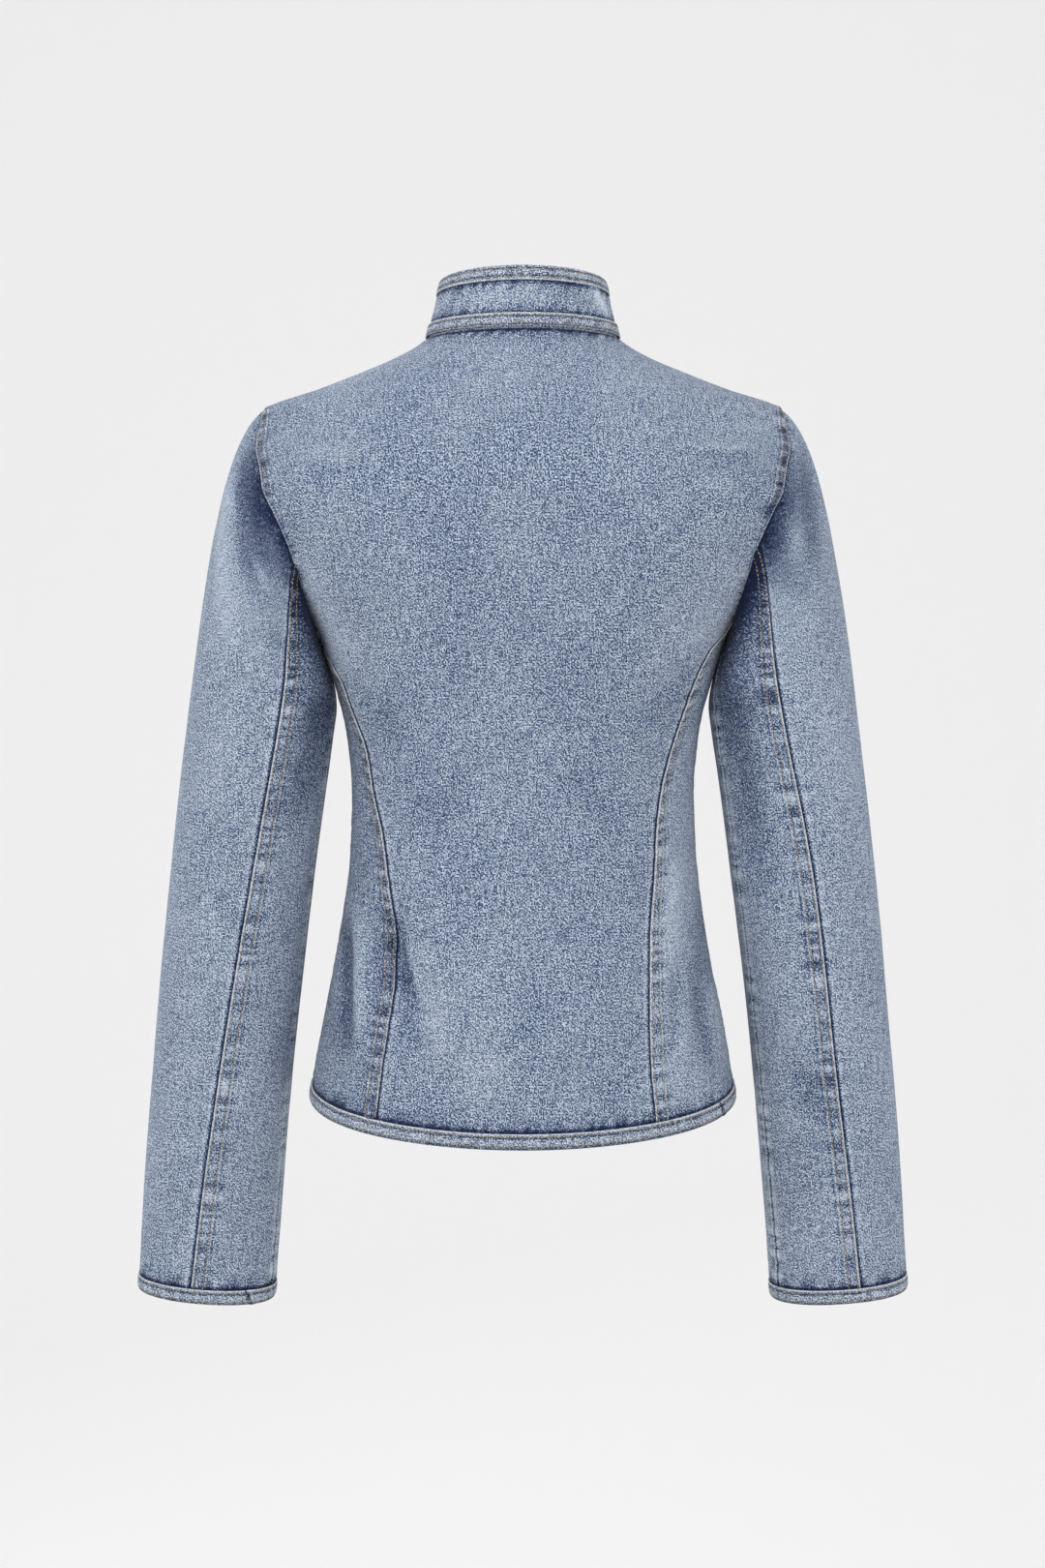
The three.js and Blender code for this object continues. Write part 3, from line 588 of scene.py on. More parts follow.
def smooth_object(name, build):
    mesh = bpy.data.meshes.new(name)
    build.to_mesh(mesh)
    build.free()
    for face in mesh.polygons:
        face.use_smooth = True
    piece = bpy.data.objects.new(name, mesh)
    bpy.context.scene.collection.objects.link(piece)
    return piece


def arcs(points, axis):
    steps = np.linalg.norm(np.diff(points, axis=axis), axis=-1)
    first = np.zeros_like(np.take(steps, [0], axis))
    return np.concatenate([first, np.cumsum(steps, axis)], axis)


def cloth(name, points, relief, folded=0, up=None, thickness=denim_thickness, skins=(washed_denim, denim_inside)):
    """A piece of cloth from a grid of points in mm: raised by its relief, then given its thickness inwards."""
    rows, columns = points.shape[:2]
    across, along = arcs(points, 1), arcs(points, 0)
    height, wear_and_shading = relief(across, across[:, -1:] - across, along, along[-1:] - along)
    # Fold ridges are painted paler and fold troughs darker: painted highlight and painted shade from the folds.
    wear_and_shading = wear_and_shading + 0.17 * np.clip(folded, 0, 2.2) + 0.23 * np.clip(folded, -2.6, 0) + 0.04
    out = unit(np.cross(np.gradient(points, axis=1), np.gradient(points, axis=0)))
    points = points + out * height[..., None]
    build = bmesh.new()
    bmesh.ops.create_grid(build, x_segments=columns - 1, y_segments=rows - 1, size=0.5)
    flat = np.array([corner.co[:2] for corner in build.verts])
    low, high = flat.min(0), flat.max(0)
    place = np.rint((flat - low) / (high - low) * (columns - 1, rows - 1)).astype(int)
    piece = smooth_object(name, build)
    mesh = piece.data
    mesh.vertices.foreach_set("co", (points[place[:, 1], place[:, 0]] * mm).ravel())
    # Store the field of abrasion, painted shade and painted highlight on each point for the material.
    worn_and_painted_light = mesh.attributes.new("wear_and_shading", "FLOAT", "POINT")
    worn_and_painted_light.data.foreach_set("value", wear_and_shading[place[:, 1], place[:, 0]].astype(np.float32))
    middle = columns // 2
    right = unit(np.gradient(points, axis=1)[:, middle])
    drift = np.sum(np.diff(points[:, middle], axis=0) * (right[1:] + right[:-1]) / 2, axis=-1)
    drift = np.concatenate([[0], np.cumsum(drift)])
    flat_x = across - across[:, middle : middle + 1] + drift[:, None]
    flat_y = along + points[:1, :, 2] if up is None else up
    corners = np.empty(len(mesh.loops), np.int32)
    mesh.loops.foreach_get("vertex_index", corners)
    spot = place[corners]
    uv = np.stack([flat_x[spot[:, 1], spot[:, 0]], flat_y[spot[:, 1], spot[:, 0]]], -1) * mm
    mesh.uv_layers.new(name="cloth").data.foreach_set("uv", uv.ravel())
    for skin in skins:
        mesh.materials.append(skin)
    wall = piece.modifiers.new("thickness", "SOLIDIFY")
    wall.thickness, wall.offset = thickness * mm, -1
    wall.material_offset = len(skins) - 1
    mesh.update()
    return piece, dict(points=points, out=out, across=across, along=along)


def flipped(points):
    """A grid of the wearer's other side, turned so that it still faces out."""
    return points[:, ::-1]


def sewn(piece, node_name):
    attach(piece, "root")
    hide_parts(node_name)


def two_toned(name, roughness, scale, detail, *tones):
    """A material whose colour wanders between two tones, each given with its place on the ramp."""
    made = bpy.data.materials.new(name)
    made.use_nodes = True
    tree = made.node_tree
    shader = tree.nodes["Principled BSDF"]
    shader.inputs["Roughness"].default_value = roughness
    noise = node(tree, "ShaderNodeTexNoise", Scale=scale, Detail=detail)
    ramp = node(tree, "ShaderNodeValToRGB")
    for stop, (position, tone) in zip(ramp.color_ramp.elements, tones):
        stop.position, stop.color = position, colour(*tone)
    tree.links.new(node(tree, "ShaderNodeTexCoord").outputs["Object"], noise.inputs["Vector"])
    tree.links.new(noise.outputs["Fac"], ramp.inputs["Fac"])
    tree.links.new(ramp.outputs["Color"], shader.inputs["Base Color"])
    return made


thread = two_toned("tan_thread", 0.6, 260.0, 1.0, (0.3, (118, 98, 54)), (0.7, (176, 152, 96)))
near_row, far_row = 1.7, 1.5  # the rows of stitches, from the fold of a felled seam and from its other edge


def line_on(grid, away, side="start", rows=(0.0, 1.0)):
    """The points on a cloth at a distance from one of its edges, and the way they face."""
    points, out, across, along = (grid[key] for key in ("points", "out", "across", "along"))
    if side in ("bottom", "top"):
        points, out, across, along = points.swapaxes(0, 1), out.swapaxes(0, 1), along.T, across.T
    chosen = range(int(rows[0] * (len(points) - 1)), int(rows[1] * (len(points) - 1)) + 1)
    line = []
    for j in chosen:
        length, up = across[j, -1], along[j].mean()
        at = away(up) if callable(away) else away
        at = at if side in ("start", "bottom") else length - at
        line.append([np.interp(at, across[j], values[j, :, k]) for values in (points, out) for k in range(3)])
    line = np.array(line)
    return line[:, :3], line[:, 3:]


def stitching(name, lines, pitch=2.9, length=2.1, width=0.75):
    """Rows of thread, one small bead for each stitch that shows."""
    build = bmesh.new()
    for points, out in lines:
        row = bmesh.new()
        run = arcs(points, 0)
        for start in np.arange(pitch * 0.6, run[-1] - pitch * 0.5, pitch):
            ends = (start - 0.5 * length, start + 0.5 * length)
            a, b = (np.array([np.interp(at, run, points[:, k]) for k in range(3)]) for at in ends)
            up = Vector([np.interp(start, run, out[:, k]) for k in range(3)]).normalized()
            ahead = Vector(b - a).normalized()
            side = up.cross(ahead).normalized()
            up = ahead.cross(side)
            turn = Matrix((side, up, ahead)).transposed().to_4x4()
            size = Matrix.Diagonal((width * mm, 0.55 * mm, length * mm, 1))
            spot = Matrix.Translation((Vector(a + b) / 2 + up * 0.12) * mm)
            bmesh.ops.create_uvsphere(row, u_segments=6, v_segments=4, radius=0.5, matrix=spot @ turn @ size)
        sewn_row = bpy.data.meshes.new("row")
        row.to_mesh(sewn_row)
        row.free()
        build.from_mesh(sewn_row)
        bpy.data.meshes.remove(sewn_row)
    piece = smooth_object(name, build)
    piece.data.materials.append(thread)
    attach(piece, "root")
    return piece


armhole_strip = 8.5
side_share, armhole_share, shoulder_share = 0.52, 0.3, 0.18


def back_edge(name):
    return edge(
        (side_share, beside_seam(name, -tuck)),
        (armhole_share, round_armhole(seam_top[name], 0.0)),
        (shoulder_share, climb(shoulder_tip, 0, lambda z: 0 * z)),
    )


left_edge, right_edge = back_edge("back_left"), back_edge("back_right")
other_edge = lambda v: (math.pi - right_edge(v)[0], right_edge(v)[1])
back_top = lambda u: (mix(left_edge(np.ones(1))[0], other_edge(np.ones(1))[0], u), 0 * u)
back_where = panel(straight_hem(left_edge, other_edge), back_top, left_edge, other_edge)
u, v = np.meshgrid(stations(0.055, 18, 62, 0.055, 18), np.linspace(0, 1, 251))
back_share = v


def back_relief(start, end, low, high):
    height, wear_and_shading = 0, 0
    beside_arm = ease(side_share, side_share + 0.01, back_share)
    for away, seed, ends_at, pinch in ((start, 1.0, -118, 0.5), (end, 4.0, -134, 1.0)):
        flat_strip = ease(ends_at, ends_at + 12, back_points[..., 2]) * (1 - ease(0.82, 0.83, back_share))
        h1, w1 = tucked(away - tuck, low, seed)
        h2, w2 = felled(away, low, armhole_strip, seed + 1)
        h3, w3 = turned_in(away, low, seed + 2)
        # Where the armhole strip fades out, the cloth beside it is pinched into puckers and painted darker overall.
        # Its puckers are painted paler and darker.
        pinched = pinch * flat_strip * bump(away, 4.5, 3.5) * (1 - ease(-70, -40, back_points[..., 2]))
        h2 = mix(h3, h2, flat_strip) + 0.35 * pinched * rope(low, seed)
        w2 = mix(w3, w2, flat_strip) + pinched * (0.8 * rope(low, seed) - 0.6)
        height, wear_and_shading = height + mix(h1, h2, beside_arm), wear_and_shading + mix(w1, w2, beside_arm)
    for away, along, covered, seed in ((low, start, 9, 7.0), (high, start, 0, 9.0)):
        h, w = pressed(away, along, covered, seed)
        height, wear_and_shading = height + h, wear_and_shading + w
    return height, wear_and_shading


back_places = back_where(u, v)
back_points = body(*back_places)
back_cloth, back_grid = cloth("back_cloth", back_points, back_relief, body_folded(*back_places), rise(back_points))
sewn(back_cloth, "back_panel")
stitching(
    "back_armhole_stitching",
    [
        line_on(back_grid, away, side, (lowest, side_share + armhole_share))
        for side, lowest in (("start", 0.675), ("end", 0.652))
        for away in (near_row, armhole_strip - far_row)
    ],
)

# Side back pieces
# Two narrow shaped pieces of the same denim between the long back seams and the side seams. Each
# back seam is felled onto them, with a raised double-stitched edge that puckers.


def strip_width(up):
    return mix(9.4, 6.8, ease(40, 190, up))


def side_piece(name, seam, front=False, strip=strip_width):
    right = name.endswith("right")
    foot = math.pi
    near = lambda past: climb(hem_level, underarm, lambda z: further(0 * z, z, past))
    if front:
        start, end = edge((1.0, beside_seam(seam))), edge((1.0, near(0.0)))
        top = lambda u: armhole(mix(seam_top[seam], foot, u))
        across = stations(0.24, 22, 12, 0.06, 3)
    else:
        start, end = edge((1.0, near(-tuck))), edge((1.0, beside_seam(seam)))
        top = lambda u: armhole(mix(foot, seam_top[seam], u))
        across = stations(0.06, 3, 12, 0.24, 22)
    u, v = np.meshgrid(across, np.linspace(0, 1, 161))
    angle, level = panel(straight_hem(start, end), top, start, end)(u, v)
    places = (flipped(math.pi - angle), flipped(level)) if right else (angle, level)
    points = body(*places)

    def relief(start, end, low, high):
        seed = 1.0 if seam == "back_left" else 4.0 if seam == "back_right" else 12.0 + right
        seam_away, plain_away = (start, end) if front != right else (end, start)
        h1, w1 = felled(seam_away, low, strip(low), seed)
        # The right piece is painted a little paler and the left a little darker for the light on each side, with
        # painted shade in the armpit at the top.
        w1 = w1 + (0.15 if right else -0.15) - 0.6 * bump(high, 0, 26)
        h2, w2 = turned_in(plain_away, low, 15.0 + right) if front else tucked(plain_away - tuck, low, 15.0 + right)
        h3, w3 = pressed(low, start, 9, 7.0)
        return h1 + h2 + h3, w1 + w2 + w3

    piece, grid = cloth(f"{name}_cloth", points, relief, body_folded(*places), points[..., 2])
    side = "start" if front != right else "end"
    return piece, grid, [line_on(grid, away, side) for away in (near_row, lambda up: strip(up) - far_row)]


back_seam_lines = []
for side, area in (("left", 0.026), ("right", 0.028)):
    piece, grid, lines = side_piece(f"side_back_{side}", f"back_{side}")
    sewn(piece, f"side_back_{side}")
    back_seam_lines += lines
stitching("back_seam_stitching", back_seam_lines)

# Fronts
# Two shaped fronts and two side fronts of the same denim, joined by a felled seam over the bust. The
# right front laps 24 mm over the left one, and both free edges are turned in and stitched twice.
front_seam_lines = []
for side, area in (("left", 0.029), ("right", 0.029)):
    piece, grid, lines = side_piece(f"side_front_{side}", "front", front=True)
    sewn(piece, f"side_front_{side}")
    front_seam_lines += lines

lap_lifts = {"left": -lap_lift, "right": lap_lift}
neck_share, front_edge_rows = 0.2, (2.0, 27.0)


def front_edge_angle(level):
    return angle_at(-lap / 2, level, "front")


def front_piece(side):
    neck_foot_angle, neck_foot = (float(x) for x in neckline(-math.pi / 2))
    corner = neck_foot - 1
    corner_angle = float(front_edge_angle(np.array(corner)))
    start = edge(
        (1 - neck_share - 0.04, climb(hem_level, corner, front_edge_angle)),
        (0.04, lambda t: (mix(corner_angle, neck_foot_angle, t), mix(corner, neck_foot, t))),
        (neck_share, lambda t: neckline(mix(-math.pi / 2, 0.0, t))),
    )
    end = edge((0.62, beside_seam("front", tuck)), (0.38, round_armhole(seam_top["front"], 2 * math.pi)))
    top = lambda u: (further(0 * u, mix(0, shoulder_tip, u), tuck * ease(0, 0.1, 1 - u)), mix(0, shoulder_tip, u))
    u, v = np.meshgrid(stations(0.1, 14, 30, 0.07, 14), np.linspace(0, 1, 221))
    angle, level = panel(straight_hem(start, end), top, start, end)(u, v)
    places = (flipped(math.pi - angle), flipped(level)) if side == "right" else (angle, level)
    points = body(*places, lap_lifts[side])

    def relief(first, last, low, high):
        free, seam = (last, first) if side == "right" else (first, last)
        down = 1 - ease(0.74, 0.76, v[:, ::-1] if side == "right" else v)
        arm = ease(0.62, 0.63, v)
        h1, w1 = tucked(seam - tuck, low, 12.0 + (side == "right"))
        h2, w2 = felled(seam, low, armhole_strip, 21.0)
        pull = rope(low, 31.0)
        h3 = -0.25 * bump(free, 2, 0.7) - 0.25 * bump(free, 27, 0.8) + 0.2 * pull * bump(free, 5, 5)
        # A pale line on the turned edge is real abrasion with painted highlight. The puckers are painted paler and
        # darker, with painted shade beside the inner row of stitches.
        w3 = 0.5 * bump(free, 0.3, 0.9) + 0.3 * pull * bump(free, 4, 4) - 0.4 * bump(free, 28, 1.0)
        h4, w4 = pressed(low, first, 9, 7.0)
        h5, w5 = tucked(high - tuck, first, 33.0)
        return mix(h1, h2, arm) + h3 * down + h4 + h5, mix(w1, w2, arm) + w3 * down + w4 + w5

    piece, grid = cloth(f"front_{side}_cloth", points, relief, body_folded(*places), rise(points))
    free, seam = ("end", "start") if side == "right" else ("start", "end")
    lines = [line_on(grid, away, free, (0.0, 0.75)) for away in front_edge_rows]
    return piece, lines + [line_on(grid, away, seam, (0.63, 1.0)) for away in (near_row, armhole_strip - far_row)]


for side in ("left", "right"):
    piece, lines = front_piece(side)
    sewn(piece, f"front_{side}")
    front_seam_lines += lines
stitching("front_seam_stitching", front_seam_lines)

# Sleeves
# Each sleeve is cut in two long pieces, a wide top piece and a narrow one below it. Their back seam
# is felled onto the under sleeve, and the head is eased into the armhole without gathers.
sleeve_sections = table(
    "z x y wide deep",
    (-254, 179.3, 4, 50.6, 56),
    (-334, 189.4, 4, 49.8, 53),
    (-414, 198.8, 2, 49, 50),
    (-494, 206.8, -3, 48.3, 46),
    (-575, 214.2, -10, 48.2, 42),
    (-659, 220.4, -19, 47.6, 38),
)
sleeve_size = {name: through(sleeve_sections, "z", name) for name in ("x", "y", "wide", "deep")}
sleeve_square, head_share, head_z, cuff_z, sleeve_length = 2.15, 0.36, -254, -659, 620
sleeve_seams = table(
    "at back_left back_right inner_left inner_right",
    (0, 112, 104, 172, 166),
    (0.36, 108.5, 96, 170, 160),
    (0.55, 101.5, 86.7, 168, 158),
    (0.75, 91.5, 83.5, 166, 156),
    (1, 79.5, 75, 163, 153),
)
sleeve_folds = {
    "left": table(
        "angle0 at0 angle1 at1 width height",
        (52, 0.02, 78, 0.2, 15, -4.5),
        (36, 0.1, 62, 0.3, 12, 2.6),
        (150, 0.3, 132, 0.5, 16, -3),
        (250, 0.5, 318, 0.57, 16, -3),
        (236, 0.58, 306, 0.63, 15, -2.4),
    ),
    "right": table(
        "angle0 at0 angle1 at1 width height",
        (44, 0.05, 66, 0.24, 15, -2.6),
        (140, 0.28, 128, 0.56, 14, -2.6),
        (118, 0.72, 96, 0.8, 12, -1.8),
        (244, 0.49, 312, 0.55, 16, -3),
        (240, 0.57, 300, 0.63, 15, -2.2),
    ),
}
# Smaller creases on the back of the sleeves, as they lie seen from behind.
sleeve_creases = {
    "left": table(
        "x0 z0 x1 z1 width height",
        (201, -110, 186, -146, 3.2, 2.5),
        (187, -142, 171, -180, 3.2, 2.6),
        (192, -118, 172, -166, 7, -1.8),
        (196, -88, 170, -132, 8, -1.6),
        (172, -200, 152, -232, 8, -1.2),
        (196, -250, 214, -330, 12, 0.8),
        (204, -380, 186, -420, 10, -0.9),
        (222, -430, 232, -520, 12, 0.7),
    ),
    "right": table(
        "x0 z0 x1 z1 width height",
        (166, -132, 182, -182, 8, -1.5),
        (180, -120, 196, -168, 8, 1.2),
        (170, -230, 158, -270, 9, -1.0),
        (206, -250, 218, -330, 12, 0.8),
        (188, -400, 204, -440, 10, -0.9),
        (178, -470, 192, -500, 9, 0.8),
    ),
}


def sleeve_tube(angle, at):
    z = head_z + (at - head_share) / (1 - head_share) * (cuff_z - head_z)
    middle = lambda level: np.stack([sleeve_size["x"](level), sleeve_size["y"](level), level], -1)
    down = unit(middle(z - 1) - middle(z + 1))
    outside = unit(np.array([1.0, 0, 0]) - down[..., :1] * down)
    behind = np.cross(outside, down)
    reach = outline(angle, sleeve_square)
    return (
        middle(z)
        + outside * (sleeve_size["wide"](z) * reach * np.cos(angle))[..., None]
        + behind * (sleeve_size["deep"](z) * reach * np.sin(angle))[..., None]
    )


def sleeve_bare(angle, at):
    angle, at = np.broadcast_arrays(np.asarray(angle, float), np.asarray(at, float))
    under = (1 - np.cos(angle)) / 2
    place = armhole(angle)
    place = (place[0] * (1 + tuck / 80), place[1] + tuck * np.cos(angle))
    start = body_bare(*place) + facing(body_bare, *place, 0.01, 0.5) * mix(-1.3, 1.6, under**3)[..., None]
    end = sleeve_tube(angle, head_share + 0 * at)
    length = np.linalg.norm(end - start, axis=-1)[..., None]
    leave = np.radians(mix(-15, -97, under))
    out = np.stack([np.cos(leave), 0.3 * np.sin(angle), np.sin(leave)], -1)
    arrive = unit(sleeve_tube(angle, head_share + 0.01 + 0 * at) - end)
    t = (at / head_share)[..., None]
    head = (
        start * (1 + 2 * t) * (1 - t) ** 2
        + out * 0.43 * length * t * (1 - t) ** 2
        + end * t * t * (3 - 2 * t)
        + arrive * 1.2 * length * t * t * (t - 1)
    )
    return np.where(at[..., None] >= head_share, sleeve_tube(angle, at), head)


def sleeve_folded(side, angle, at):
    turned = np.degrees(angle) % 360
    point = sleeve_bare(angle, at)
    out = 0.3 * ripple(turned * 0.88, at * sleeve_length, 2.0 if side == "left" else 5.0)
    for fold in sleeve_folds[side]:
        x0, y0 = fold["angle0"] * 0.88, fold["at0"] * sleeve_length
        x1, y1 = fold["angle1"] * 0.88, fold["at1"] * sleeve_length
        out = out + fold_height(fold, turned * 0.88, at * sleeve_length, x0, y0, x1, y1)
    behind = ease(10, 30, turned) * (1 - ease(150, 170, turned))
    for fold in sleeve_creases[side]:
        out = out + behind * crease(fold, point)
    return out


def sleeve(side, angle, at):
    face = facing(lambda turn, up: sleeve_bare(turn, 1 - up), angle, 1 - at, 0.01, 0.002)
    point = sleeve_bare(angle, at) + face * sleeve_folded(side, angle, at)[..., None]
    return point * (-1, 1, 1) if side == "right" else point


sleeve_strip = 9.5
sleeve_seam_at = {name: through(sleeve_seams, "at", name) for name in sleeve_seams[0] if name != "at"}
tuck_angle = tuck / 50


def sleeve_piece(side, part, across):
    u, v = np.meshgrid(across, np.linspace(0, 1, 261))
    back = np.radians(sleeve_seam_at[f"back_{side}"](1 - v))
    inner = np.radians(sleeve_seam_at[f"inner_{side}"](1 - v))
    if part == "top":
        angle = mix(inner - 2 * math.pi, back + tuck_angle, u)
    else:
        angle = mix(back, inner + tuck_angle, u)
    points, folded = sleeve(side, angle, 1 - v), sleeve_folded(side, angle, 1 - v)
    if side == "right":
        points, folded = flipped(points), flipped(folded)

    def relief(start, end, low, high):
        if side == "right":
            start, end = end, start
        seed = 41.0 if side == "left" else 47.0
        back_away, inner_away = (end, start) if part == "top" else (start, end)
        if part == "top":
            h1, w1 = tucked(back_away - tuck, low, seed)
            h2, w2 = turned_in(inner_away, low, seed + 3)
        else:
            h1, w1 = felled(back_away, low, sleeve_strip, seed)
            h2, w2 = tucked(inner_away - tuck, low, seed + 3)
        h3, w3 = pressed(low, start, 9, seed + 5)
        h4, w4 = pressed(high, start, 0.6, seed + 6)
        # Painted shadow on the sleeve head where it lies behind the body's edge. The whole sleeve is painted a
        # little paler.
        behind_body = (1 - ease(-130, -70, points[..., 2])) * ease(0, 10, points[..., 1])
        w4 = w4 + 0.1 - 1.3 * behind_body * bump(high, 0, 24)
        # Painted shade up the under sleeve towards the armpit.
        if part == "under":
            w4 = w4 - 0.9 * bump(high, 0, 60)
        pull = rope(low, seed + 3)
        h2 = h2 + 0.3 * pull * bump(inner_away, 5, 4)
        # A pale line along the inner seam with its puckers painted paler and darker.
        w2 = w2 + (0.6 * pull + 0.3) * bump(inner_away, 4, 3)
        return h1 + h2 + h3 + h4, w1 + w2 + w3 + w4

    return cloth(f"sleeve_{part}_{side}_cloth", points, relief, folded)


sleeve_lines = []
for side in ("left", "right"):
    piece, grid = sleeve_piece(side, "top", stations(0.03, 8, 56, 0.03, 9))
    sewn(piece, f"sleeve_top_{side}")
    piece, grid = sleeve_piece(side, "under", stations(0.24, 20, 10, 0.08, 4))
    sewn(piece, f"sleeve_under_{side}")
    edge_name = "start" if side == "left" else "end"
    sleeve_lines += [line_on(grid, away, edge_name) for away in (near_row, sleeve_strip - far_row)]
stitching("sleeve_seam_stitching", sleeve_lines)

# Collar
# A low stand collar of two layers of denim with interlining between them. It is sewn to the neck and
# stands by itself, a little narrower at its top edge, and its two ends meet at the front.
collar_thickness, collar_end = 2.4, math.radians(2.2)
collar_top_side, collar_top_back, collar_top_front = 57.5, 56, 61
collar_back_height, collar_front_height, binding_depth = 42, 35, 9


def collar_face(u, v):
    u, v = np.broadcast_arrays(np.asarray(u, float), np.asarray(v, float))
    turn = mix(-math.pi / 2 + collar_end, 3 * math.pi / 2 - collar_end, u)
    foot = body(*neckline(np.where(turn > math.pi, turn - 2 * math.pi, turn)))
    across = np.sin(turn)
    foot = foot + np.stack([-0.6 * np.cos(turn), -0.6 * across, 0.3 + 0 * turn], -1)
    height = mix(collar_front_height, collar_back_height, (1 + across) / 2)
    depth = np.where(across > 0, collar_top_back, collar_top_front)
    top = np.stack([collar_top_side * np.cos(turn), depth * across, foot[..., 2] + height], -1)
    return mix(foot, top, v[..., None])


def collar_relief(start, end, low, high):
    h1, w1 = pressed(low, start, 10.4, 51.0)
    h2, w2 = pressed(high, start, 9, 53.0)
    x, z = collar_points[..., 0], collar_points[..., 2]
    bend = np.where(collar_points[..., 1] > 0, fold_height(dict(width=3, height=1.3), x, z, -46, 36, -60, 6), 0)
    soft = 0.5 * ripple(start * 1.6, low * 1.6, 7.0)
    corners = 0.3 * ease(40, 58, np.abs(x)) * bump(low, 11, 6)
    # The fold and the ripples are painted paler on their highs and darker in their lows. The lower corners get
    # painted shade where the collar meets the neck.
    return bend + 0.25 * soft + 1.3 * (h1 + h2), 0.75 * (w1 + w2) + 0.2 + 0.9 * bend + soft * 0.3 - corners


u, v = np.meshgrid(np.linspace(0, 1, 221), np.linspace(0, 1, 25))
collar_points = collar_face(u, v)
collar = cloth("collar_cloth", collar_points, collar_relief, thickness=collar_thickness)[0]
sewn(collar, "collar")

# Neck band
# A narrow strip of the same denim laid over the seam between the collar and the jacket, with a row
# of tan stitches along each edge. The stitching draws it into small puckers.
bound_denim = denim(
    "bound_denim", (36, 52, 88), (104, 118, 139), (192, 201, 211), (16, 27, 56), (202, 209, 216)
)


def strip_shape(depth, along, width, rows, seed):
    """The face of a stitched strip: pulled down along its rows of stitches, and puckered between them."""
    pull = rope(along, seed)
    height = 0.25 * pull * bump(depth, width / 2, width * 0.4)
    # The puckers and the strip's inner edge are painted paler as highlight, and the rows of stitches are painted
    # darker as shade in their dents.
    wear_and_shading = height + 1.2 * bump(depth, width, 0.7) + 0.3 * bump(depth, 0, 0.8) + 0.15
    for row in rows:
        height, wear_and_shading = height - 0.4 * bump(depth, row, 0.8), wear_and_shading - 1.1 * bump(depth, row - 0.5, 0.8)
    return height, wear_and_shading


def band_points(u, depth, lift):
    face = facing(collar_face, u, depth / collar_back_height, 0.004, 0.01)
    return collar_face(u, depth / collar_back_height) + face * lift


band_foot, band_width, binding_thickness = 1.26, 9, 1.1
u, v = np.meshgrid(np.linspace(0.003, 0.997, 221), np.linspace(band_foot, band_foot + band_width, 13))
neck_band, neck_grid = cloth(
    "neck_band_cloth",
    band_points(u, v, 1.5),
    lambda start, end, low, high: strip_shape(low, start, band_width, (near_row, band_width - near_row), 57.0),
    thickness=binding_thickness,
    skins=(bound_denim,),
)
sewn(neck_band, "neck_band")

# Bindings
# Strips of denim folded over the collar's top edge, the hem and both cuffs, about 9 mm deep on each
# face. Two rows of tan stitches hold each one, and its ends are turned in and meet on a slant.
fold_path = [(9, 0.5), (8.7, 0.8), (7.8, 0.85), (6.9, 0.85), (6, 0.85), (5.1, 0.85), (4.2, 0.85), (3.3, 0.85)]
fold_path += [(2.4, 0.85), (1.5, 0.8), (0.6, 0.7), (-0.3, 0.5), (-1.1, 0.05), (-1.5, -0.6)]
around = {"denim": denim_thickness, "collar": collar_thickness}


def bound(name, surface, us, wrapped, rows_at, seed, node_name, joint=None):
    """surface(u, depth) is the outer face of the cloth that is bound, from its cut edge inwards."""
    middle = -around[wrapped] / 2
    path = fold_path + [(depth, 2 * middle - lift) for depth, lift in reversed(fold_path)]
    rows = []
    for depth, lift in reversed(path):
        base = surface(us, np.full_like(us, max(depth, 0.0)))
        beyond = unit(surface(us, np.zeros_like(us)) - surface(us, np.ones_like(us)))
        ahead = surface(us + 0.002, np.zeros_like(us)) - surface(us - 0.002, np.zeros_like(us))
        out = unit(np.cross(ahead, -beyond))
        rows.append(base + beyond * max(-depth, 0.0) + out * lift)
    depth_of = np.array([depth for depth, lift in reversed(path)])[:, None]
    outer = np.array([lift > middle for depth, lift in reversed(path)])[:, None]

    def relief(start, end, low, high):
        height, wear_and_shading = strip_shape(np.maximum(depth_of, 0) + 0 * start, start, binding_depth, rows_at, seed)
        if joint is not None:
            past = start - start[:, np.abs(us - joint).argmin()][:, None] + 0.35 * depth_of
            height = height + 0.6 * (ease(-0.4, 0.6, past) - ease(0, 9, past))
            # A dark line painted along the slanted joint where the binding's ends meet.
            wear_and_shading = wear_and_shading - 1.9 * bump(past, -0.4, 0.9)
        return np.where(outer, height, 0.5 * height), wear_and_shading

    piece, grid = cloth(name, np.stack(rows), relief, thickness=binding_thickness, skins=(bound_denim,))
    sewn(piece, node_name)
    return [line_on(grid, binding_depth - away, "top") for away in rows_at]


def hem_surface(u, depth):
    edge_angle = float(front_edge_angle(np.array(float(hem_level))))
    angle = mix(edge_angle, math.pi - edge_angle, u)
    lift = np.where(u < 0.5, lap_lifts["left"], lap_lifts["right"])
    return body(angle, hem_level + depth, lift)


def cuff_surface(side):
    inner = math.radians(float(sleeve_seam_at[f"inner_{side}"](1)))

    def surface(u, depth):
        if side == "right":
            u = 1 - u
        angle = mix(inner - 2 * math.pi + 0.012, inner - 0.012, u)
        return sleeve(side, angle, 1 - depth / sleeve_length)

    return surface


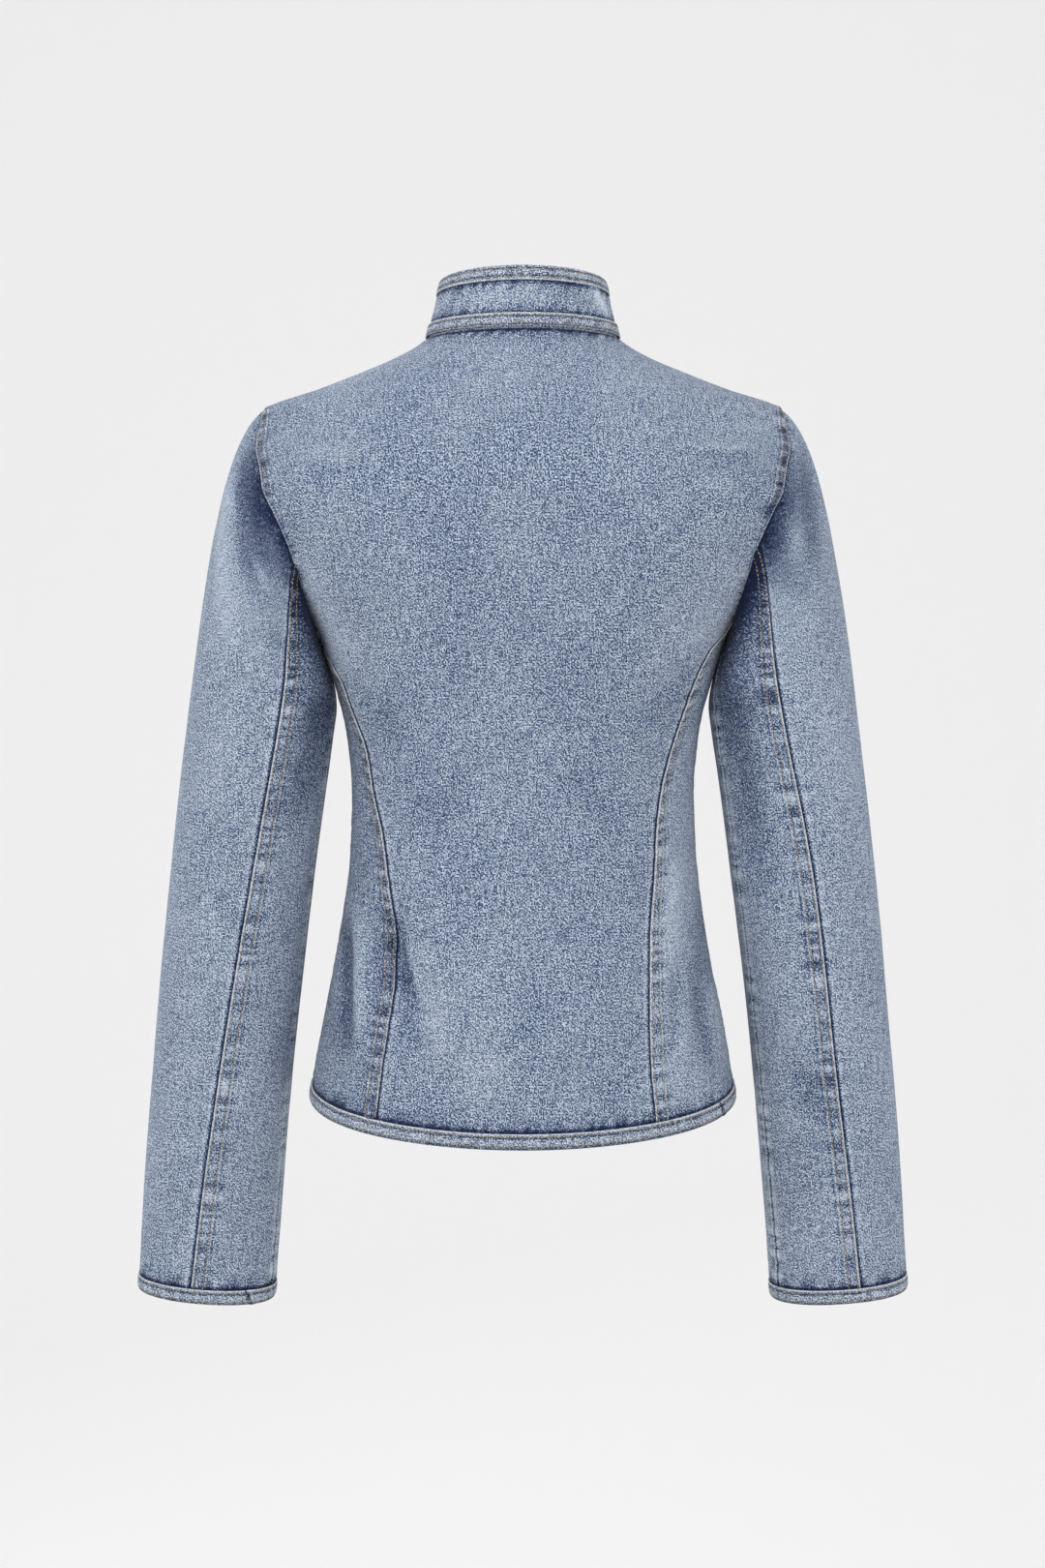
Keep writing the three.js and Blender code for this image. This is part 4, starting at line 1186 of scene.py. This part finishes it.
binding_lines = bound(
    "collar_binding_cloth", lambda u, depth: collar_face(1 - u, 1 - depth / collar_back_height),
    np.linspace(-0.001, 1.001, 221), "collar", (1.4, 6.6), 61.0, "collar_binding",
)
binding_lines += bound(
    "hem_binding_cloth", hem_surface, np.linspace(0, 1, 421), "denim", (0.5, 6.9),
    63.0, "hem_binding", 0.672,
)
for side in ("left", "right"):
    binding_lines += bound(
        f"cuff_binding_{side}_cloth", cuff_surface(side), np.linspace(0, 1, 161), "denim", (0.5, 6.9),
        65.0 + (side == "right"), f"cuff_binding_{side}", 0.915 if side == "left" else 0.78,
    )
binding_lines += [line_on(neck_grid, near_row, "bottom"), line_on(neck_grid, near_row, "top")]
stitching("binding_stitching", binding_lines)

# Buttons
# Six plain shank buttons of dull metal down the right front. Each is a domed cap with a rolled rim
# and a ring pressed into it, on a short post that goes through the cloth.
button_count, first_button, button_spacing, button_radius = 6, -72, 84, 8.5
worn_metal = two_toned("worn_metal", 0.36, 420.0, 3.0, (0, (112, 104, 92)), (1, (186, 180, 168)))
worn_metal.node_tree.nodes["Principled BSDF"].inputs["Metallic"].default_value = 1.0
button_profile = [(0, 3.6), (2.6, 3.65), (4.6, 3.5), (5.0, 3.2), (5.5, 3.5), (6.6, 3.7), (7.6, 4.3), (8.2, 4.5)]
button_profile += [(button_radius, 4.0), (8.4, 2.6), (8.0, 1.8), (6.4, 1.5), (4.0, 1.5), (4.0, 0.0), (0, 0.0)]
for number in range(button_count):
    level = np.array(float(first_button - number * button_spacing))
    straight = np.array(-math.pi / 2)
    out = Vector(facing(body_bare, straight, level, 0.01, 0.5))
    spot = Vector(body(straight, level, lap_lift)) + out * 0.3
    build = bmesh.new()
    ring = [build.verts.new((radius * mm, 0, height * mm)) for radius, height in button_profile]
    lines = [build.edges.new(pair) for pair in zip(ring, ring[1:])]
    bmesh.ops.spin(
        build, geom=ring + lines, cent=(0, 0, 0), axis=(0, 0, 1), angle=2 * math.pi, steps=32, use_merge=True
    )
    bmesh.ops.remove_doubles(build, verts=build.verts, dist=1e-6)
    bmesh.ops.recalc_face_normals(build, faces=build.faces)
    turn = out.to_track_quat("Z", "Y").to_matrix().to_4x4()
    bmesh.ops.transform(build, matrix=Matrix.Translation(spot * mm) @ turn, verts=build.verts)
    button = smooth_object(f"button_{number + 1}_cap", build)
    button.data.materials.append(worn_metal)
    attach(button, "root")
    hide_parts(f"button_{number + 1}")
